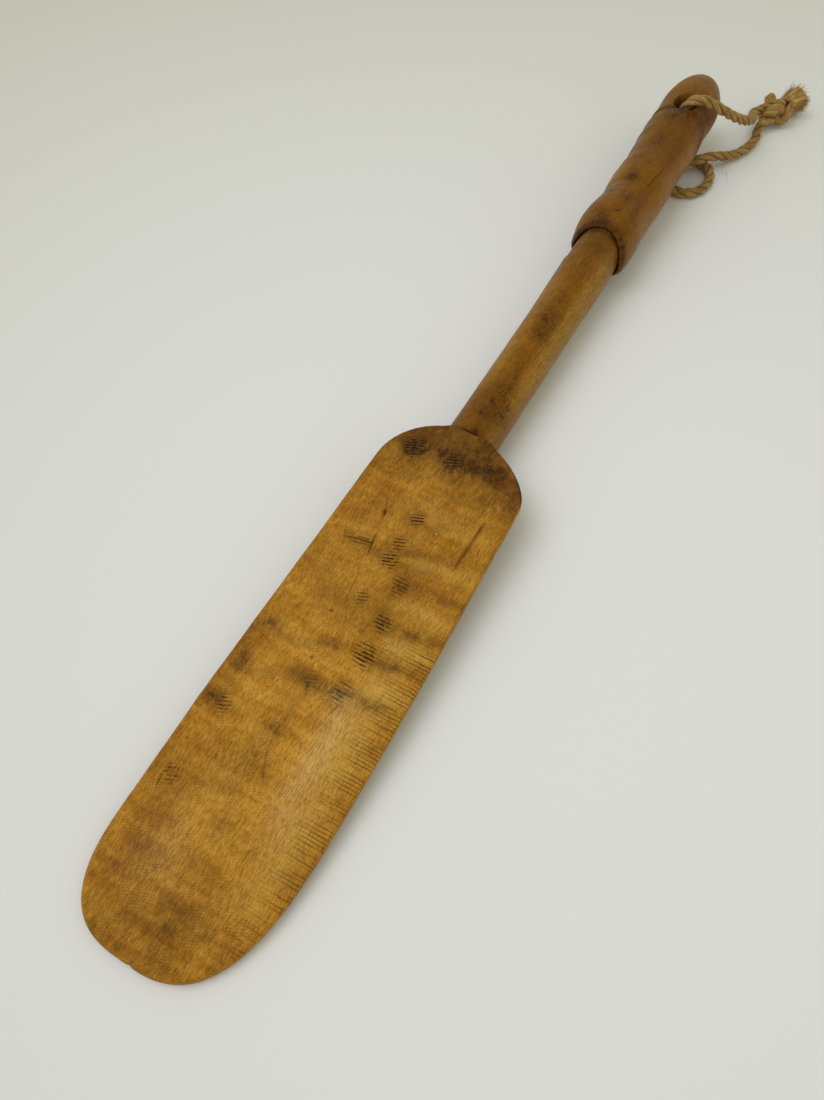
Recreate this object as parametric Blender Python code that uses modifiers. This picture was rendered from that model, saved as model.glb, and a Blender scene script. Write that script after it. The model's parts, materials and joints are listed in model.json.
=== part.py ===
"""Short one-hand carved wooden paddle with a jute lanyard.

Metres, +Z up.  The paddle lies as it rests on a table at z = 0: +X runs from
the blade's tip to the rounded end of the handle, the origin is under the
middle of the wooden part.  It touches the table on a worn flat under the
blade's tip and on a small flat under the handle's collar.

Pieces: a carved blade lapped on to a round shaft whose lower end tapers into
a spine on the blade's back, two hidden wooden pegs through that lap, a carved
handle socketed over the shaft's upper end and pinned, and a loop of twisted
jute cord through a hole in the handle, closed by an overhand knot with a
frayed end.
"""
import bpy
import bmesh
from math import sin, cos, pi, sqrt, atan2, radians
from mathutils import Vector, Matrix

# ---------------------------------------------------------------- dimensions
LENGTH = 0.610                 # overall length of the wood
TIP_X = -LENGTH / 2
END_X = LENGTH / 2 - 0.0014
GAP = 0.0003                   # fitted pieces stay this far apart

# blade
LEFT_HALF = 0.0418             # the blade's half widths, where it is widest
RIGHT_HALF = 0.0430
TIP_APEX_Y = 0.0055            # the tip's furthest point is off the middle
TIP_TOP_Z = 0.0050             # height of the face at the tip
ROOT_TOP_Z = 0.0284            # height of the face at the shoulders
SHOULDER_X = -0.0275           # where the blade's face ends on the shaft
FACE_SLOPE = 0.0904            # slope of the face along most of the blade
ROOT_SLOPE = 0.034             # slope where it meets the shaft's crest
ROOT_RUN = 0.060
THICK_TIP = 0.0072
THICK_ROOT = 0.0105

# shaft
SHAFT_R = 0.0140
SHAFT_END_X = 0.175            # end of the tenon inside the handle
SPINE_END_X = -0.138           # end of the tapering spine on the blade's back
SPINE_START_X = -0.036
SHAFT_SLOPE = 0.034            # rise of the axis towards the handle
AXIS_Y = 0.0018                # the shaft stands a little off the blade's middle

# handle
COLLAR_X = 0.1445
AXIS_Z_COLLAR = 0.0206
GRIP_SLOPE = 0.060
LIP_X = 0.1285
SOCKET_X = 0.1755
HEAD_X = 0.2705
HEAD_R = 0.0187
HOLE_X = 0.2565
HOLE_Y = 0.0026
HOLE_R = 0.0047
PIN_X = 0.1500

# lanyard
CORD_R = 0.0031
CORD_BEND = 0.0098             # the cord's tightest turn, a diameter and a half
CORD_Z = CORD_R + 0.0001

MAT = {
    "blade": ((0.42, 0.235, 0.066), 0.42),
    "shaft": ((0.40, 0.205, 0.052), 0.40),
    "grip": ((0.33, 0.155, 0.040), 0.38),
    "peg": ((0.20, 0.095, 0.030), 0.55),
    "jute": ((0.48, 0.34, 0.17), 0.92),
}


# ---------------------------------------------------------------- shape rules
def clamp(t, a=0.0, b=1.0):
    return max(a, min(b, t))


def smooth(t):
    t = clamp(t)
    return t * t * (3 - 2 * t)


def shaft_axis_z(x):
    return AXIS_Z_COLLAR + SHAFT_SLOPE * (x - COLLAR_X)


def shaft_axis_y(x):
    """The shaft stands off the middle and its spine runs back to it."""
    return AXIS_Y * smooth((x - SPINE_END_X) / 0.10)


def grip_axis_y(x):
    """The collar bulges to the left, and the handle runs back to the middle."""
    bulge = smooth((x - 0.130) / 0.016) * (1 - smooth((x - 0.151) / 0.022))
    return AXIS_Y + 0.0009 * bulge + 0.0006 * smooth((x - 0.200) / 0.06)


def grip_axis_z(x):
    """The handle leaves the shaft's line at the collar and rises a little."""
    t = x - COLLAR_X
    if t <= 0:
        return shaft_axis_z(x)
    bend = min(t, 0.030)
    return AXIS_Z_COLLAR + SHAFT_SLOPE * t + (GRIP_SLOPE - SHAFT_SLOPE) * (
        bend * bend / 0.060 + max(0.0, t - 0.030)) + 0.0004 * smooth(t / 0.05)


def face_z(x):
    """Height of the blade's face on its middle line."""
    u = SHOULDER_X - x
    if u < 0:
        return ROOT_TOP_Z + ROOT_SLOPE * (-u)
    a = min(u, ROOT_RUN)
    drop = ROOT_SLOPE * a + (FACE_SLOPE - ROOT_SLOPE) * a * a / (2 * ROOT_RUN)
    return ROOT_TOP_Z - drop - FACE_SLOPE * max(0.0, u - ROOT_RUN)


def blade_thickness(x):
    s = clamp((x - TIP_X) / (SHOULDER_X - TIP_X))
    return THICK_TIP + (THICK_ROOT - THICK_TIP) * s


def back_z(x):
    return max(0.0, face_z(x) - blade_thickness(x))


def super_quarter(t, p):
    """Quarter of a superellipse: 0 at t = 0, 1 at t = 1."""
    t = clamp(t)
    return (1 - (1 - t) ** p) ** (1 / p)


def blade_side(x, side, grow=0.0):
    """y of the blade's left (+1) or right (-1) edge at x."""
    d = x - TIP_X
    if side > 0:
        full = LEFT_HALF - 0.0047 * clamp((d - 0.100) / 0.145)
        tip_a, tip_p = 0.050, 2.85
        sh_a, sh_p, sh_end = 0.0340, 1.9, SHOULDER_X + 0.0010
    else:
        full = RIGHT_HALF - 0.0030 * clamp((d - 0.130) / 0.120) ** 1.3
        tip_a, tip_p = 0.094, 3.05
        sh_a, sh_p, sh_end = 0.0262, 1.65, SHOULDER_X + 0.0005
    y = full + grow
    if d < tip_a:
        mid = TIP_APEX_Y * side
        y = mid + (y - mid) * super_quarter(d / tip_a, tip_p)
    e = sh_end + grow - x
    if e < sh_a:
        y = y * super_quarter(max(e, 0.0) / sh_a, sh_p)
    return side * y


# ---------------------------------------------------------------- helpers
for ob in list(bpy.data.objects):
    bpy.data.objects.remove(ob, do_unlink=True)

parts = bpy.data.collections.new("paddle")
cutters = bpy.data.collections.new("cutters")
bpy.context.scene.collection.children.link(parts)
bpy.context.scene.collection.children.link(cutters)


def material(slot, name):
    mat = bpy.data.materials.new(name)
    mat.use_nodes = True
    bsdf = mat.node_tree.nodes["Principled BSDF"]
    col, rough = MAT[slot]
    bsdf.inputs["Base Color"].default_value = (*col, 1.0)
    bsdf.inputs["Roughness"].default_value = rough
    bsdf.inputs["Metallic"].default_value = 0.0
    mat.diffuse_color = (*col, 1.0)
    return mat


def add(ob, slot, collection=None):
    (collection or parts).objects.link(ob)
    if slot:
        ob.data.materials.clear()
        ob.data.materials.append(material(slot, ob.name + "_finish"))
    else:
        ob.hide_render = True
        ob.display_type = "WIRE"
    return ob


def loft(name, rings, slot):
    """A closed solid through rings of equally many points, flat at both ends."""
    bm = bmesh.new()
    rows = [[bm.verts.new(p) for p in ring] for ring in rings]
    n = len(rings[0])
    for a, b in zip(rows, rows[1:]):
        for i in range(n):
            j = (i + 1) % n
            bm.faces.new((a[i], a[j], b[j], b[i]))
    bm.faces.new(list(reversed(rows[0])))
    bm.faces.new(rows[-1])
    bmesh.ops.recalc_face_normals(bm, faces=bm.faces)
    me = bpy.data.meshes.new(name)
    bm.to_mesh(me)
    bm.free()
    me.shade_smooth()
    me.set_sharp_from_angle(angle=radians(40))
    return add(bpy.data.objects.new(name, me), slot, None if slot else cutters)


def peg(name, foot, top, radius, slot, sides=20):
    """A round peg, or with slot None a cutter, from foot up to top."""
    a, b = Vector(foot), Vector(top)
    axis = b - a
    bm = bmesh.new()
    bmesh.ops.create_cone(bm, cap_ends=True, segments=sides, radius1=radius,
                          radius2=radius, depth=axis.length)
    me = bpy.data.meshes.new(name)
    bm.to_mesh(me)
    bm.free()
    me.shade_smooth()
    me.set_sharp_from_angle(angle=radians(40))
    ob = bpy.data.objects.new(name, me)
    ob.location = (a + b) / 2
    ob.rotation_euler = axis.to_track_quat("Z", "Y").to_euler()
    return add(ob, slot, None if slot else cutters)


def cut(target, cutter):
    mod = target.modifiers.new("cut_" + cutter.name, "BOOLEAN")
    mod.operation = "DIFFERENCE"
    mod.solver = "EXACT"
    mod.object = cutter


# ---------------------------------------------------------------- the blade
def blade_stations():
    xs = [TIP_X + v for v in (0.0003, 0.0012, 0.0030, 0.0060, 0.0100, 0.0150,
                              0.0210, 0.0280, 0.0360, 0.0450)]
    n = 12
    start, stop = TIP_X + 0.058, SHOULDER_X - 0.040
    xs += [start + (stop - start) * i / n for i in range(n + 1)]
    xs += [SHOULDER_X - v for v in (0.0325, 0.0255, 0.0190, 0.0135, 0.0090,
                                    0.0058, 0.0034, 0.0018)]
    return xs


def blade_ring(x, half_steps=7):
    """Section of the blade: a crowned face, a flat rim and a crowned back."""
    left, right = blade_side(x, 1), blade_side(x, -1)
    zt, zb = face_z(x), back_z(x)
    d = x - TIP_X
    body = smooth(d / 0.10) * smooth((SHOULDER_X - x) / 0.09)
    crown = 0.0007 + 0.0015 * body
    hollow = 0.0012 + 0.0010 * body
    if zt - zb < 0.0070:
        crown *= (zt - zb) / 0.0070
        hollow *= (zt - zb) / 0.0070
    half = 0.042
    top, bottom = [], []
    steps = [-1.0, -0.975, -0.90, -0.75, -0.55, -0.36, -0.18, 0.0,
             0.18, 0.36, 0.55, 0.75, 0.90, 0.975, 1.0]
    for v in steps:
        y = (left if v > 0 else -right) * v
        w = clamp(abs(y) / half)
        ease = 0.0009 if abs(v) > 0.99 else 0.0
        top.append((x, y, zt - crown * w * w - ease))
        lift = clamp((abs(y) - 0.0156) / (half - 0.0156)) ** 1.1
        toe = 0.0005 * (1 - smooth((d - 0.002) / 0.006)) if zb < 0.0001 else 0.0
        bottom.append((x, y, zb + hollow * lift + toe + ease * 0.9))
    return top + bottom[::-1]


blade = loft("blade", [blade_ring(x) for x in blade_stations()], "blade")


# ---------------------------------------------------------------- the shaft
def spine_radius(x):
    t = clamp((SPINE_START_X - x) / (SPINE_START_X - SPINE_END_X))
    return SHAFT_R * (1 - smooth(t) * 0.42) * (1 - 0.66 * t ** 1.6)


def shaft_ring(x, sides=28):
    if x >= SPINE_START_X:
        r, zc = SHAFT_R + 0.0006 * smooth((x - 0.06) / 0.05), shaft_axis_z(x)
    else:
        r = spine_radius(x)
        t = smooth((SPINE_START_X - x) / 0.080)
        zc = shaft_axis_z(x) * (1 - t) + (back_z(x) - 0.0002) * t
        zc = max(zc, r + 0.0006)
    if x > 0.1130:
        r = min(r, SHAFT_R)
    yc = shaft_axis_y(x)
    return [(x, yc + r * sin(2 * pi * i / sides), zc + r * cos(2 * pi * i / sides))
            for i in range(sides)]


shaft_xs = [SPINE_END_X + (SPINE_START_X - SPINE_END_X) * i / 12 for i in range(13)]
shaft_xs += [-0.015, 0.010, 0.030, 0.050, 0.070, 0.090, 0.106, 0.1135, 0.145, SHAFT_END_X]
shaft = loft("shaft", [shaft_ring(x) for x in shaft_xs], "shaft")


def lap_ring(x):
    """The seat for the blade: its outline grown by the gap, open upwards."""
    left, right = blade_side(x, 1, GAP), blade_side(x, -1, GAP)
    zb = back_z(x) - GAP
    return [(x, left, 0.045), (x, right, 0.045), (x, right, zb), (x, left, zb)]


lap_xs = [-0.160 + 0.010 * i for i in range(10)]
lap_xs += [SHOULDER_X - v for v in (0.0325, 0.0255, 0.0190, 0.0135, 0.0090,
                                    0.0058, 0.0034, 0.0018, 0.0009, 0.0003)]
lap = loft("cut_lap", [lap_ring(x) for x in lap_xs], None)
cut(shaft, lap)


# ------------------------------------------------------- pegs through the lap
PEG_R = 0.0030
for tag, px in (("front", -0.0950), ("rear", -0.0520)):
    foot_z = max(shaft_ring(px)[14][2], 0.0) + 0.0006
    top_z = face_z(px) - 0.0032
    py = shaft_axis_y(px)
    ob = peg("lap_peg_" + tag, (px, py, foot_z), (px, py, top_z), PEG_R, "peg")
    hole = peg("cut_peg_" + tag, (px, py, -0.01), (px, py, top_z + GAP),
               PEG_R + GAP, None)
    cut(blade, hole)
    cut(shaft, hole)


# ---------------------------------------------------------------- the handle
def grip_radius(x):
    """Swells and waists of the carved handle, from the lip to the head."""
    marks = [(LIP_X, 0.0163), (0.1315, 0.0176), (0.1355, 0.0186),
             (0.1405, 0.0193), (0.1455, 0.0196), (0.1515, 0.0193),
             (0.1585, 0.0186), (0.1655, 0.0180), (0.1725, 0.0179),
             (0.1815, 0.0184), (0.1905, 0.0186), (0.2005, 0.0184),
             (0.2105, 0.0179), (0.2205, 0.0180), (0.2325, 0.0188),
             (0.2415, 0.0191), (0.2505, 0.0187), (0.2575, 0.0182),
             (0.2645, 0.0184), (HEAD_X, HEAD_R)]
    if x >= HEAD_X:
        t = clamp((x - HEAD_X) / (END_X - HEAD_X))
        return HEAD_R * sqrt(max(0.0, 1 - t * t))
    for (xa, ra), (xb, rb) in zip(marks, marks[1:]):
        if x <= xb:
            return ra + (rb - ra) * smooth((x - xa) / (xb - xa))
    return HEAD_R


def collar_rise(dz):
    """How far the collar's lip sits back above and below its sides."""
    back = sqrt(dz * dz + 0.000016) - 0.004
    return (0.62 if dz > 0 else 0.50) * back


def collar_lean(x, dy, dz):
    """The collar is cut aslant: its top lies further from the blade."""
    return (0.12 * dy + collar_rise(dz)) * (1 - smooth((x - 0.136) / 0.075))


def grip_ring(x, sides=30, size=1.0):
    r, zc, yc = grip_radius(x) * size, grip_axis_z(x), grip_axis_y(x)
    heel = 0.0018 * smooth((x - LIP_X) / 0.010) * (1 - smooth((x - 0.150) / 0.030))
    ring = []
    for i in range(sides):
        a = 2 * pi * i / sides
        down = max(0.0, -cos(a)) ** 3
        y = r * sin(a)
        dz = (r + heel * down) * cos(a)
        z = zc + dz
        if x < 0.168:
            z = max(z, 0.0)
        ring.append((x + collar_lean(x, y, dz), yc + y, z))
    return ring


grip_xs = [LIP_X, 0.1300, 0.1320, 0.1355, 0.1405, 0.1455, 0.1515, 0.1585,
           0.1655, 0.1725, 0.1815, 0.1905, 0.2005, 0.2105, 0.2205, 0.2325,
           0.2415, 0.2505, 0.2575, 0.2645, 0.2705, 0.2770, 0.2835, 0.2890,
           0.2935, 0.2970, 0.3000, 0.3020, 0.3031, 0.30355]
grip = loft("grip", [grip_ring(LIP_X, size=0.55)] + [grip_ring(x) for x in grip_xs],
            "grip")


def socket_ring(x, r, lean=0.0, sides=28):
    zc, yc = shaft_axis_z(x), shaft_axis_y(x)
    ring = []
    for i in range(sides):
        dy, dz = r * sin(2 * pi * i / sides), r * cos(2 * pi * i / sides)
        ring.append((x + lean * (0.12 * dy + collar_rise(dz)), yc + dy, zc + dz))
    return ring


socket = loft("cut_socket", [socket_ring(0.1120, SHAFT_R + 0.0012, 1.0),
                             socket_ring(0.1300, SHAFT_R + 0.0012, 1.0),
                             socket_ring(0.1350, SHAFT_R + GAP, 0.9),
                             socket_ring(SOCKET_X, SHAFT_R + GAP)], None)
cut(grip, socket)

# the hole for the cord, worn into a small trumpet at both mouths
HOLE_Z = grip_axis_z(HOLE_X)
TOP_Z = HOLE_Z + grip_radius(HOLE_X)
LOW_Z = HOLE_Z - grip_radius(HOLE_X)


def turned(name, profile, x, y, sides, slot):
    """A turned shape: the profile (r, z) runs down its outer side."""
    me = bpy.data.meshes.new(name)
    bm = bmesh.new()
    vs = [bm.verts.new((r, 0.0, z)) for r, z in profile]
    for a, b in zip(vs, vs[1:]):
        bm.edges.new((a, b))
    bm.to_mesh(me)
    bm.free()
    ob = bpy.data.objects.new(name, me)
    ob.location = (x, y, 0.0)
    mod = ob.modifiers.new("screw", "SCREW")
    mod.axis = "Z"
    mod.angle = 2 * pi
    mod.steps = sides
    mod.render_steps = sides
    mod.use_merge_vertices = True
    mod.merge_threshold = 0.00005
    mod.use_normal_calculate = False
    return add(ob, slot, None if slot else cutters)


def mouth(depth):
    """Radius of the worn mouth at this depth below the surface."""
    t = clamp(1 - depth / 0.0080)
    return HOLE_R + 0.0034 * t ** 1.7


hole_profile = [(0.0, TOP_Z + 0.008), (mouth(0) + 0.0010, TOP_Z + 0.008),
                (mouth(0) + 0.0010, TOP_Z + 0.0010)]
hole_profile += [(mouth(dz), TOP_Z - dz) for dz in (0.0, 0.0015, 0.0030, 0.0050, 0.0080)]
hole_profile += [(mouth(dz), LOW_Z + dz) for dz in (0.0080, 0.0050, 0.0030, 0.0015, 0.0)]
hole_profile += [(mouth(0) + 0.0010, LOW_Z - 0.0010),
                 (mouth(0) + 0.0010, LOW_Z - 0.006), (0.0, LOW_Z - 0.006)]
cord_hole = turned("cut_cord_hole", hole_profile, HOLE_X, HOLE_Y, 24, None)
cut(grip, cord_hole)

# the pin that holds the handle on the tenon, driven in from above
pin_top = grip_axis_z(PIN_X) + grip_radius(PIN_X) - 0.0002
pin_foot = shaft_axis_z(PIN_X) - 0.0060
grip_pin = peg("grip_pin", (PIN_X, AXIS_Y, pin_foot), (PIN_X, AXIS_Y, pin_top),
               0.0020, "peg", 16)
pin_hole = peg("cut_pin", (PIN_X, AXIS_Y, pin_foot - GAP), (PIN_X, AXIS_Y, pin_top + 0.006),
               0.0020 + GAP, None, 16)
cut(grip, pin_hole)
cut(shaft, pin_hole)


# ---------------------------------------------------------------- the lanyard
# knot: its axis, and the two faces where the falls and the frayed end meet it
KNOT_A = Vector((0.3275, -0.0379, 0.0099))
KNOT_B = Vector((0.3490, -0.0477, 0.0097))
KNOT_AXIS = (KNOT_B - KNOT_A).normalized()
KNOT_SIDE = Vector((0, 0, 1)).cross(KNOT_AXIS).normalized()
KNOT_UP = KNOT_AXIS.cross(KNOT_SIDE).normalized()
UPPER_END = KNOT_A - KNOT_AXIS * 0.0005 + KNOT_SIDE * 0.0038 + KNOT_UP * 0.0020
LOWER_END = KNOT_A - KNOT_AXIS * 0.0005 - KNOT_SIDE * 0.0036 - KNOT_UP * 0.0034

LANYARD_ORIGIN = Vector((HOLE_X, HOLE_Y, HOLE_Z))


def arc_out(z_start, sign, heading, radius, sweep, n):
    """Points from the hole's axis, turning out towards the heading."""
    out = []
    for i in range(n + 1):
        a = sweep * i / n
        s = radius * (1 - cos(a))
        out.append(Vector((HOLE_X + s * cos(heading), HOLE_Y + s * sin(heading),
                           z_start + sign * radius * sin(a))))
    return out


# upper fall, from the hole's top mouth over the handle's side to the knot
upper = arc_out(TOP_Z - 0.0075, 1, radians(-74), CORD_BEND, radians(108), 5)
upper += [Vector((0.2668, -0.0204, 0.0408)), Vector((0.2757, -0.0266, 0.0340)),
          Vector((0.2872, -0.0318, 0.0268)), Vector((0.3010, -0.0342, 0.0200)),
          Vector((0.3130, -0.0332, 0.0148))]
# lower fall, from the hole's bottom mouth round its loop and to the knot
lower = arc_out(LOW_Z + 0.0082, -1, radians(-56), 0.0128, radians(74), 4)
lower += [Vector((0.2650, -0.0115, CORD_Z + 0.0004)), Vector((0.2659, -0.0178, CORD_Z)),
          Vector((0.2628, -0.0238, CORD_Z)), Vector((0.2562, -0.0276, CORD_Z)),
          Vector((0.2484, -0.0285, CORD_Z)), Vector((0.2405, -0.0271, CORD_Z)),
          Vector((0.2340, -0.0225, CORD_Z)), Vector((0.2308, -0.0156, CORD_Z)),
          Vector((0.2332, -0.0088, CORD_Z)), Vector((0.2398, -0.0054, CORD_Z)),
          Vector((0.2470, -0.0070, 0.0042)), Vector((0.2538, -0.0116, 0.0074)),
          Vector((0.2595, -0.0168, 0.0098)), Vector((0.2650, -0.0218, 0.0102)),
          Vector((0.2720, -0.0268, 0.0082)), Vector((0.2800, -0.0312, 0.0050)),
          Vector((0.2890, -0.0356, CORD_Z + 0.0003)), Vector((0.2990, -0.0392, CORD_Z + 0.0002)),
          Vector((0.3085, -0.0404, 0.0036)), Vector((0.3160, -0.0392, 0.0052))]


def curve_through(points, spacing):
    """Evenly spaced points on a smooth curve through the given ones."""
    dense = []
    p = [points[0] * 2 - points[1]] + list(points) + [points[-1] * 2 - points[-2]]
    for k in range(1, len(p) - 2):
        p0, p1, p2, p3 = p[k - 1], p[k], p[k + 1], p[k + 2]
        t0 = 0.0
        t1 = t0 + sqrt((p1 - p0).length)
        t2 = t1 + sqrt((p2 - p1).length)
        t3 = t2 + sqrt((p3 - p2).length)
        for i in range(24):
            t = t1 + (t2 - t1) * i / 24
            a1 = p0 * ((t1 - t) / (t1 - t0)) + p1 * ((t - t0) / (t1 - t0))
            a2 = p1 * ((t2 - t) / (t2 - t1)) + p2 * ((t - t1) / (t2 - t1))
            a3 = p2 * ((t3 - t) / (t3 - t2)) + p3 * ((t - t2) / (t3 - t2))
            b1 = a1 * ((t2 - t) / (t2 - t0)) + a2 * ((t - t0) / (t2 - t0))
            b2 = a2 * ((t3 - t) / (t3 - t1)) + a3 * ((t - t1) / (t3 - t1))
            dense.append(b1 * ((t2 - t) / (t2 - t1)) + b2 * ((t - t1) / (t2 - t1)))
    dense.append(p[-2])
    dist = [0.0]
    for a, b in zip(dense, dense[1:]):
        dist.append(dist[-1] + (b - a).length)
    n = max(2, round(dist[-1] / spacing))
    out, j = [], 0
    for i in range(n + 1):
        s = dist[-1] * i / n
        while j < len(dist) - 2 and dist[j + 1] < s:
            j += 1
        f = clamp((s - dist[j]) / max(dist[j + 1] - dist[j], 1e-9))
        out.append(dense[j].lerp(dense[j + 1], f))
    return out


route = [UPPER_END, UPPER_END - KNOT_AXIS * 0.0070] + upper[::-1]
route += lower + [LOWER_END - KNOT_AXIS * 0.0050, LOWER_END]
route = curve_through(route, 0.0068)

pivot = bpy.data.objects.new("lanyard_pivot", None)
pivot.location = LANYARD_ORIGIN
parts.objects.link(pivot)

cv = bpy.data.curves.new("lanyard_cord", "CURVE")
cv.dimensions = "3D"
cv.resolution_u = 1
cv.bevel_depth = CORD_R
cv.bevel_resolution = 2
cv.use_fill_caps = True
spline = cv.splines.new("POLY")
spline.points.add(len(route) - 1)
for pt, q in zip(spline.points, route):
    q = q - LANYARD_ORIGIN
    pt.co = (q.x, q.y, q.z, 1.0)
cord = add(bpy.data.objects.new("lanyard_cord", cv), "jute")
cord.parent = pivot


def along_knot(name, marks, sides, slot):
    """A loft on the knot's axis from (distance, side, up, half width, half height)."""
    rings = []
    for dist, off, up, hw, hh in marks:
        c = KNOT_A + KNOT_AXIS * dist + KNOT_SIDE * off + KNOT_UP * up - LANYARD_ORIGIN
        rings.append([c + KNOT_SIDE * (hw * cos(2 * pi * i / sides))
                      + KNOT_UP * (hh * sin(2 * pi * i / sides)) for i in range(sides)])
    ob = loft(name, rings, slot)
    ob.parent = pivot
    return ob


KNOT_LEN = (KNOT_B - KNOT_A).length
along_knot("lanyard_knot", [(0.0, 0, 0, 0.0078, 0.0072), (0.0040, 0, 0, 0.0098, 0.0084),
                            (0.0095, 0, 0, 0.0106, 0.0088), (0.0150, 0, 0, 0.0102, 0.0086),
                            (0.0200, 0, 0, 0.0082, 0.0074), (KNOT_LEN, 0, 0, 0.0058, 0.0056)],
           20, "jute")
along_knot("lanyard_frayed_end", [(KNOT_LEN + GAP, 0, 0, 0.0050, 0.0048),
                                  (KNOT_LEN + 0.0050, -0.0004, -0.0002, 0.0064, 0.0062),
                                  (KNOT_LEN + 0.0090, -0.0008, -0.0004, 0.0080, 0.0076),
                                  (KNOT_LEN + 0.0125, -0.0012, -0.0003, 0.0086, 0.0078)],
           16, "jute")
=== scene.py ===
"""Looks of the short carved wooden paddle with its jute lanyard.

Metres, +Z up, the row frame of the CAD model.  The wood is three finely
meshed carved pieces (blade, shaft, handle) made with the CAD's own shape
rules, with hand-tool relief and procedural curly-wood materials.  The lanyard
is two falls of laid jute twine, an overhand knot and a frayed brush.
"""
import json
import bpy
import bmesh
import numpy as np
from math import sin, cos, pi, sqrt, radians, atan2
from mathutils import Vector, Matrix

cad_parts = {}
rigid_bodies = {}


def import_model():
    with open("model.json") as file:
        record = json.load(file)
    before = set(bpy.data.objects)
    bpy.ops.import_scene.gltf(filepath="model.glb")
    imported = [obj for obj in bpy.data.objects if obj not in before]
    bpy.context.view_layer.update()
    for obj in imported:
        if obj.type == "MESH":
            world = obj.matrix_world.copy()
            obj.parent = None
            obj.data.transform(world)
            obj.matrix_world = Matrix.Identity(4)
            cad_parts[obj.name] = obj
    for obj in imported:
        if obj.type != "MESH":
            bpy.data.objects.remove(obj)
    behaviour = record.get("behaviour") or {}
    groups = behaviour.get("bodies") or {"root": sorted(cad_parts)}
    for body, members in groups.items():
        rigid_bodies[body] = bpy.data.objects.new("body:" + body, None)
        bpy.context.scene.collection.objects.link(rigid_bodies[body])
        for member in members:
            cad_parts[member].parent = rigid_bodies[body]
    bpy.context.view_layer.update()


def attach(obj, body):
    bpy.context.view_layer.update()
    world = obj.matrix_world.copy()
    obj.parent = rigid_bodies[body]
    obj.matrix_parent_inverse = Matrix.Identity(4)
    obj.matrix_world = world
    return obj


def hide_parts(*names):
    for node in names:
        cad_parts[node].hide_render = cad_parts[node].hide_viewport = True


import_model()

scene = bpy.context.scene
scene.view_settings.view_transform = "Standard"
scene.view_settings.look = "None"

# ------------------------------------------------------------------ camera
cam = bpy.data.cameras.new("camera")
cam.sensor_fit = "VERTICAL"
cam.sensor_height = 36.0
cam.lens = 823.27 * 36.0 / 1100.0
cam.clip_start, cam.clip_end = 0.01, 20.0
cam.dof.use_dof = False
cam_ob = bpy.data.objects.new("camera", cam)
scene.collection.objects.link(cam_ob)
RIGHT = Vector((0.50689, -0.86200, 0.00340)).normalized()
FORWARD = Vector((0.41716, 0.24185, -0.87607)).normalized()
UP = RIGHT.cross(FORWARD).normalized()
RIGHT = FORWARD.cross(UP).normalized()
cam_ob.matrix_world = Matrix((
    (RIGHT.x, UP.x, -FORWARD.x, -0.260415),
    (RIGHT.y, UP.y, -FORWARD.y, -0.099926),
    (RIGHT.z, UP.z, -FORWARD.z, 0.362772),
    (0, 0, 0, 1)))
scene.camera = cam_ob

# --------------------------------------------------------------- dimensions
LENGTH = 0.610
TIP_X, END_X = -LENGTH / 2, LENGTH / 2 - 0.0014
GAP = 0.0003
LEFT_HALF, RIGHT_HALF = 0.0418, 0.0430
TIP_APEX_Y = 0.0055
TIP_TOP_Z, ROOT_TOP_Z = 0.0050, 0.0284
SHOULDER_X = -0.0275
FACE_SLOPE, ROOT_SLOPE, ROOT_RUN = 0.0904, 0.034, 0.060
THICK_TIP, THICK_ROOT = 0.0072, 0.0105
SHAFT_R, SHAFT_END_X = 0.0140, 0.175
SPINE_END_X, SPINE_START_X = -0.138, -0.036
SHAFT_SLOPE, AXIS_Y = 0.034, 0.0018
COLLAR_X, AXIS_Z_COLLAR, GRIP_SLOPE = 0.1445, 0.0206, 0.060
LIP_X, SOCKET_X, HEAD_X, HEAD_R = 0.1285, 0.1755, 0.2705, 0.0187
HOLE_X, HOLE_Y, HOLE_R, PIN_X = 0.2565, 0.0026, 0.0047, 0.1500
CORD_R, CORD_BEND = 0.0031, 0.0098
CORD_Z = CORD_R + 0.0001


def clamp(v, lo=0.0, hi=1.0):
    return max(lo, min(hi, v))


def smooth(t):
    t = clamp(t)
    return t * t * (3 - 2 * t)


def shaft_axis_z(x):
    return AXIS_Z_COLLAR + SHAFT_SLOPE * (x - COLLAR_X)


def shaft_axis_y(x):
    return AXIS_Y * smooth((x - SPINE_END_X) / 0.10)


def grip_axis_y(x):
    bulge = smooth((x - 0.130) / 0.016) * (1 - smooth((x - 0.151) / 0.022))
    return AXIS_Y + 0.0009 * bulge + 0.0006 * smooth((x - 0.200) / 0.06)


def grip_axis_z(x):
    t = x - COLLAR_X
    if t <= 0:
        return shaft_axis_z(x)
    bend = min(t, 0.030)
    return AXIS_Z_COLLAR + SHAFT_SLOPE * t + (GRIP_SLOPE - SHAFT_SLOPE) * (
        bend * bend / 0.060 + max(0.0, t - 0.030)) + 0.0004 * smooth(t / 0.05)


def face_z(x):
    u = SHOULDER_X - x
    if u < 0:
        return ROOT_TOP_Z + ROOT_SLOPE * (-u)
    a = min(u, ROOT_RUN)
    drop = ROOT_SLOPE * a + (FACE_SLOPE - ROOT_SLOPE) * a * a / (2 * ROOT_RUN)
    return ROOT_TOP_Z - drop - FACE_SLOPE * max(0.0, u - ROOT_RUN)


def blade_thickness(x):
    s = clamp((x - TIP_X) / (SHOULDER_X - TIP_X))
    return THICK_TIP + (THICK_ROOT - THICK_TIP) * s


def back_z(x):
    return max(0.0, face_z(x) - blade_thickness(x))


def super_quarter(t, p):
    t = clamp(t)
    return (1 - (1 - t) ** p) ** (1 / p)


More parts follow.
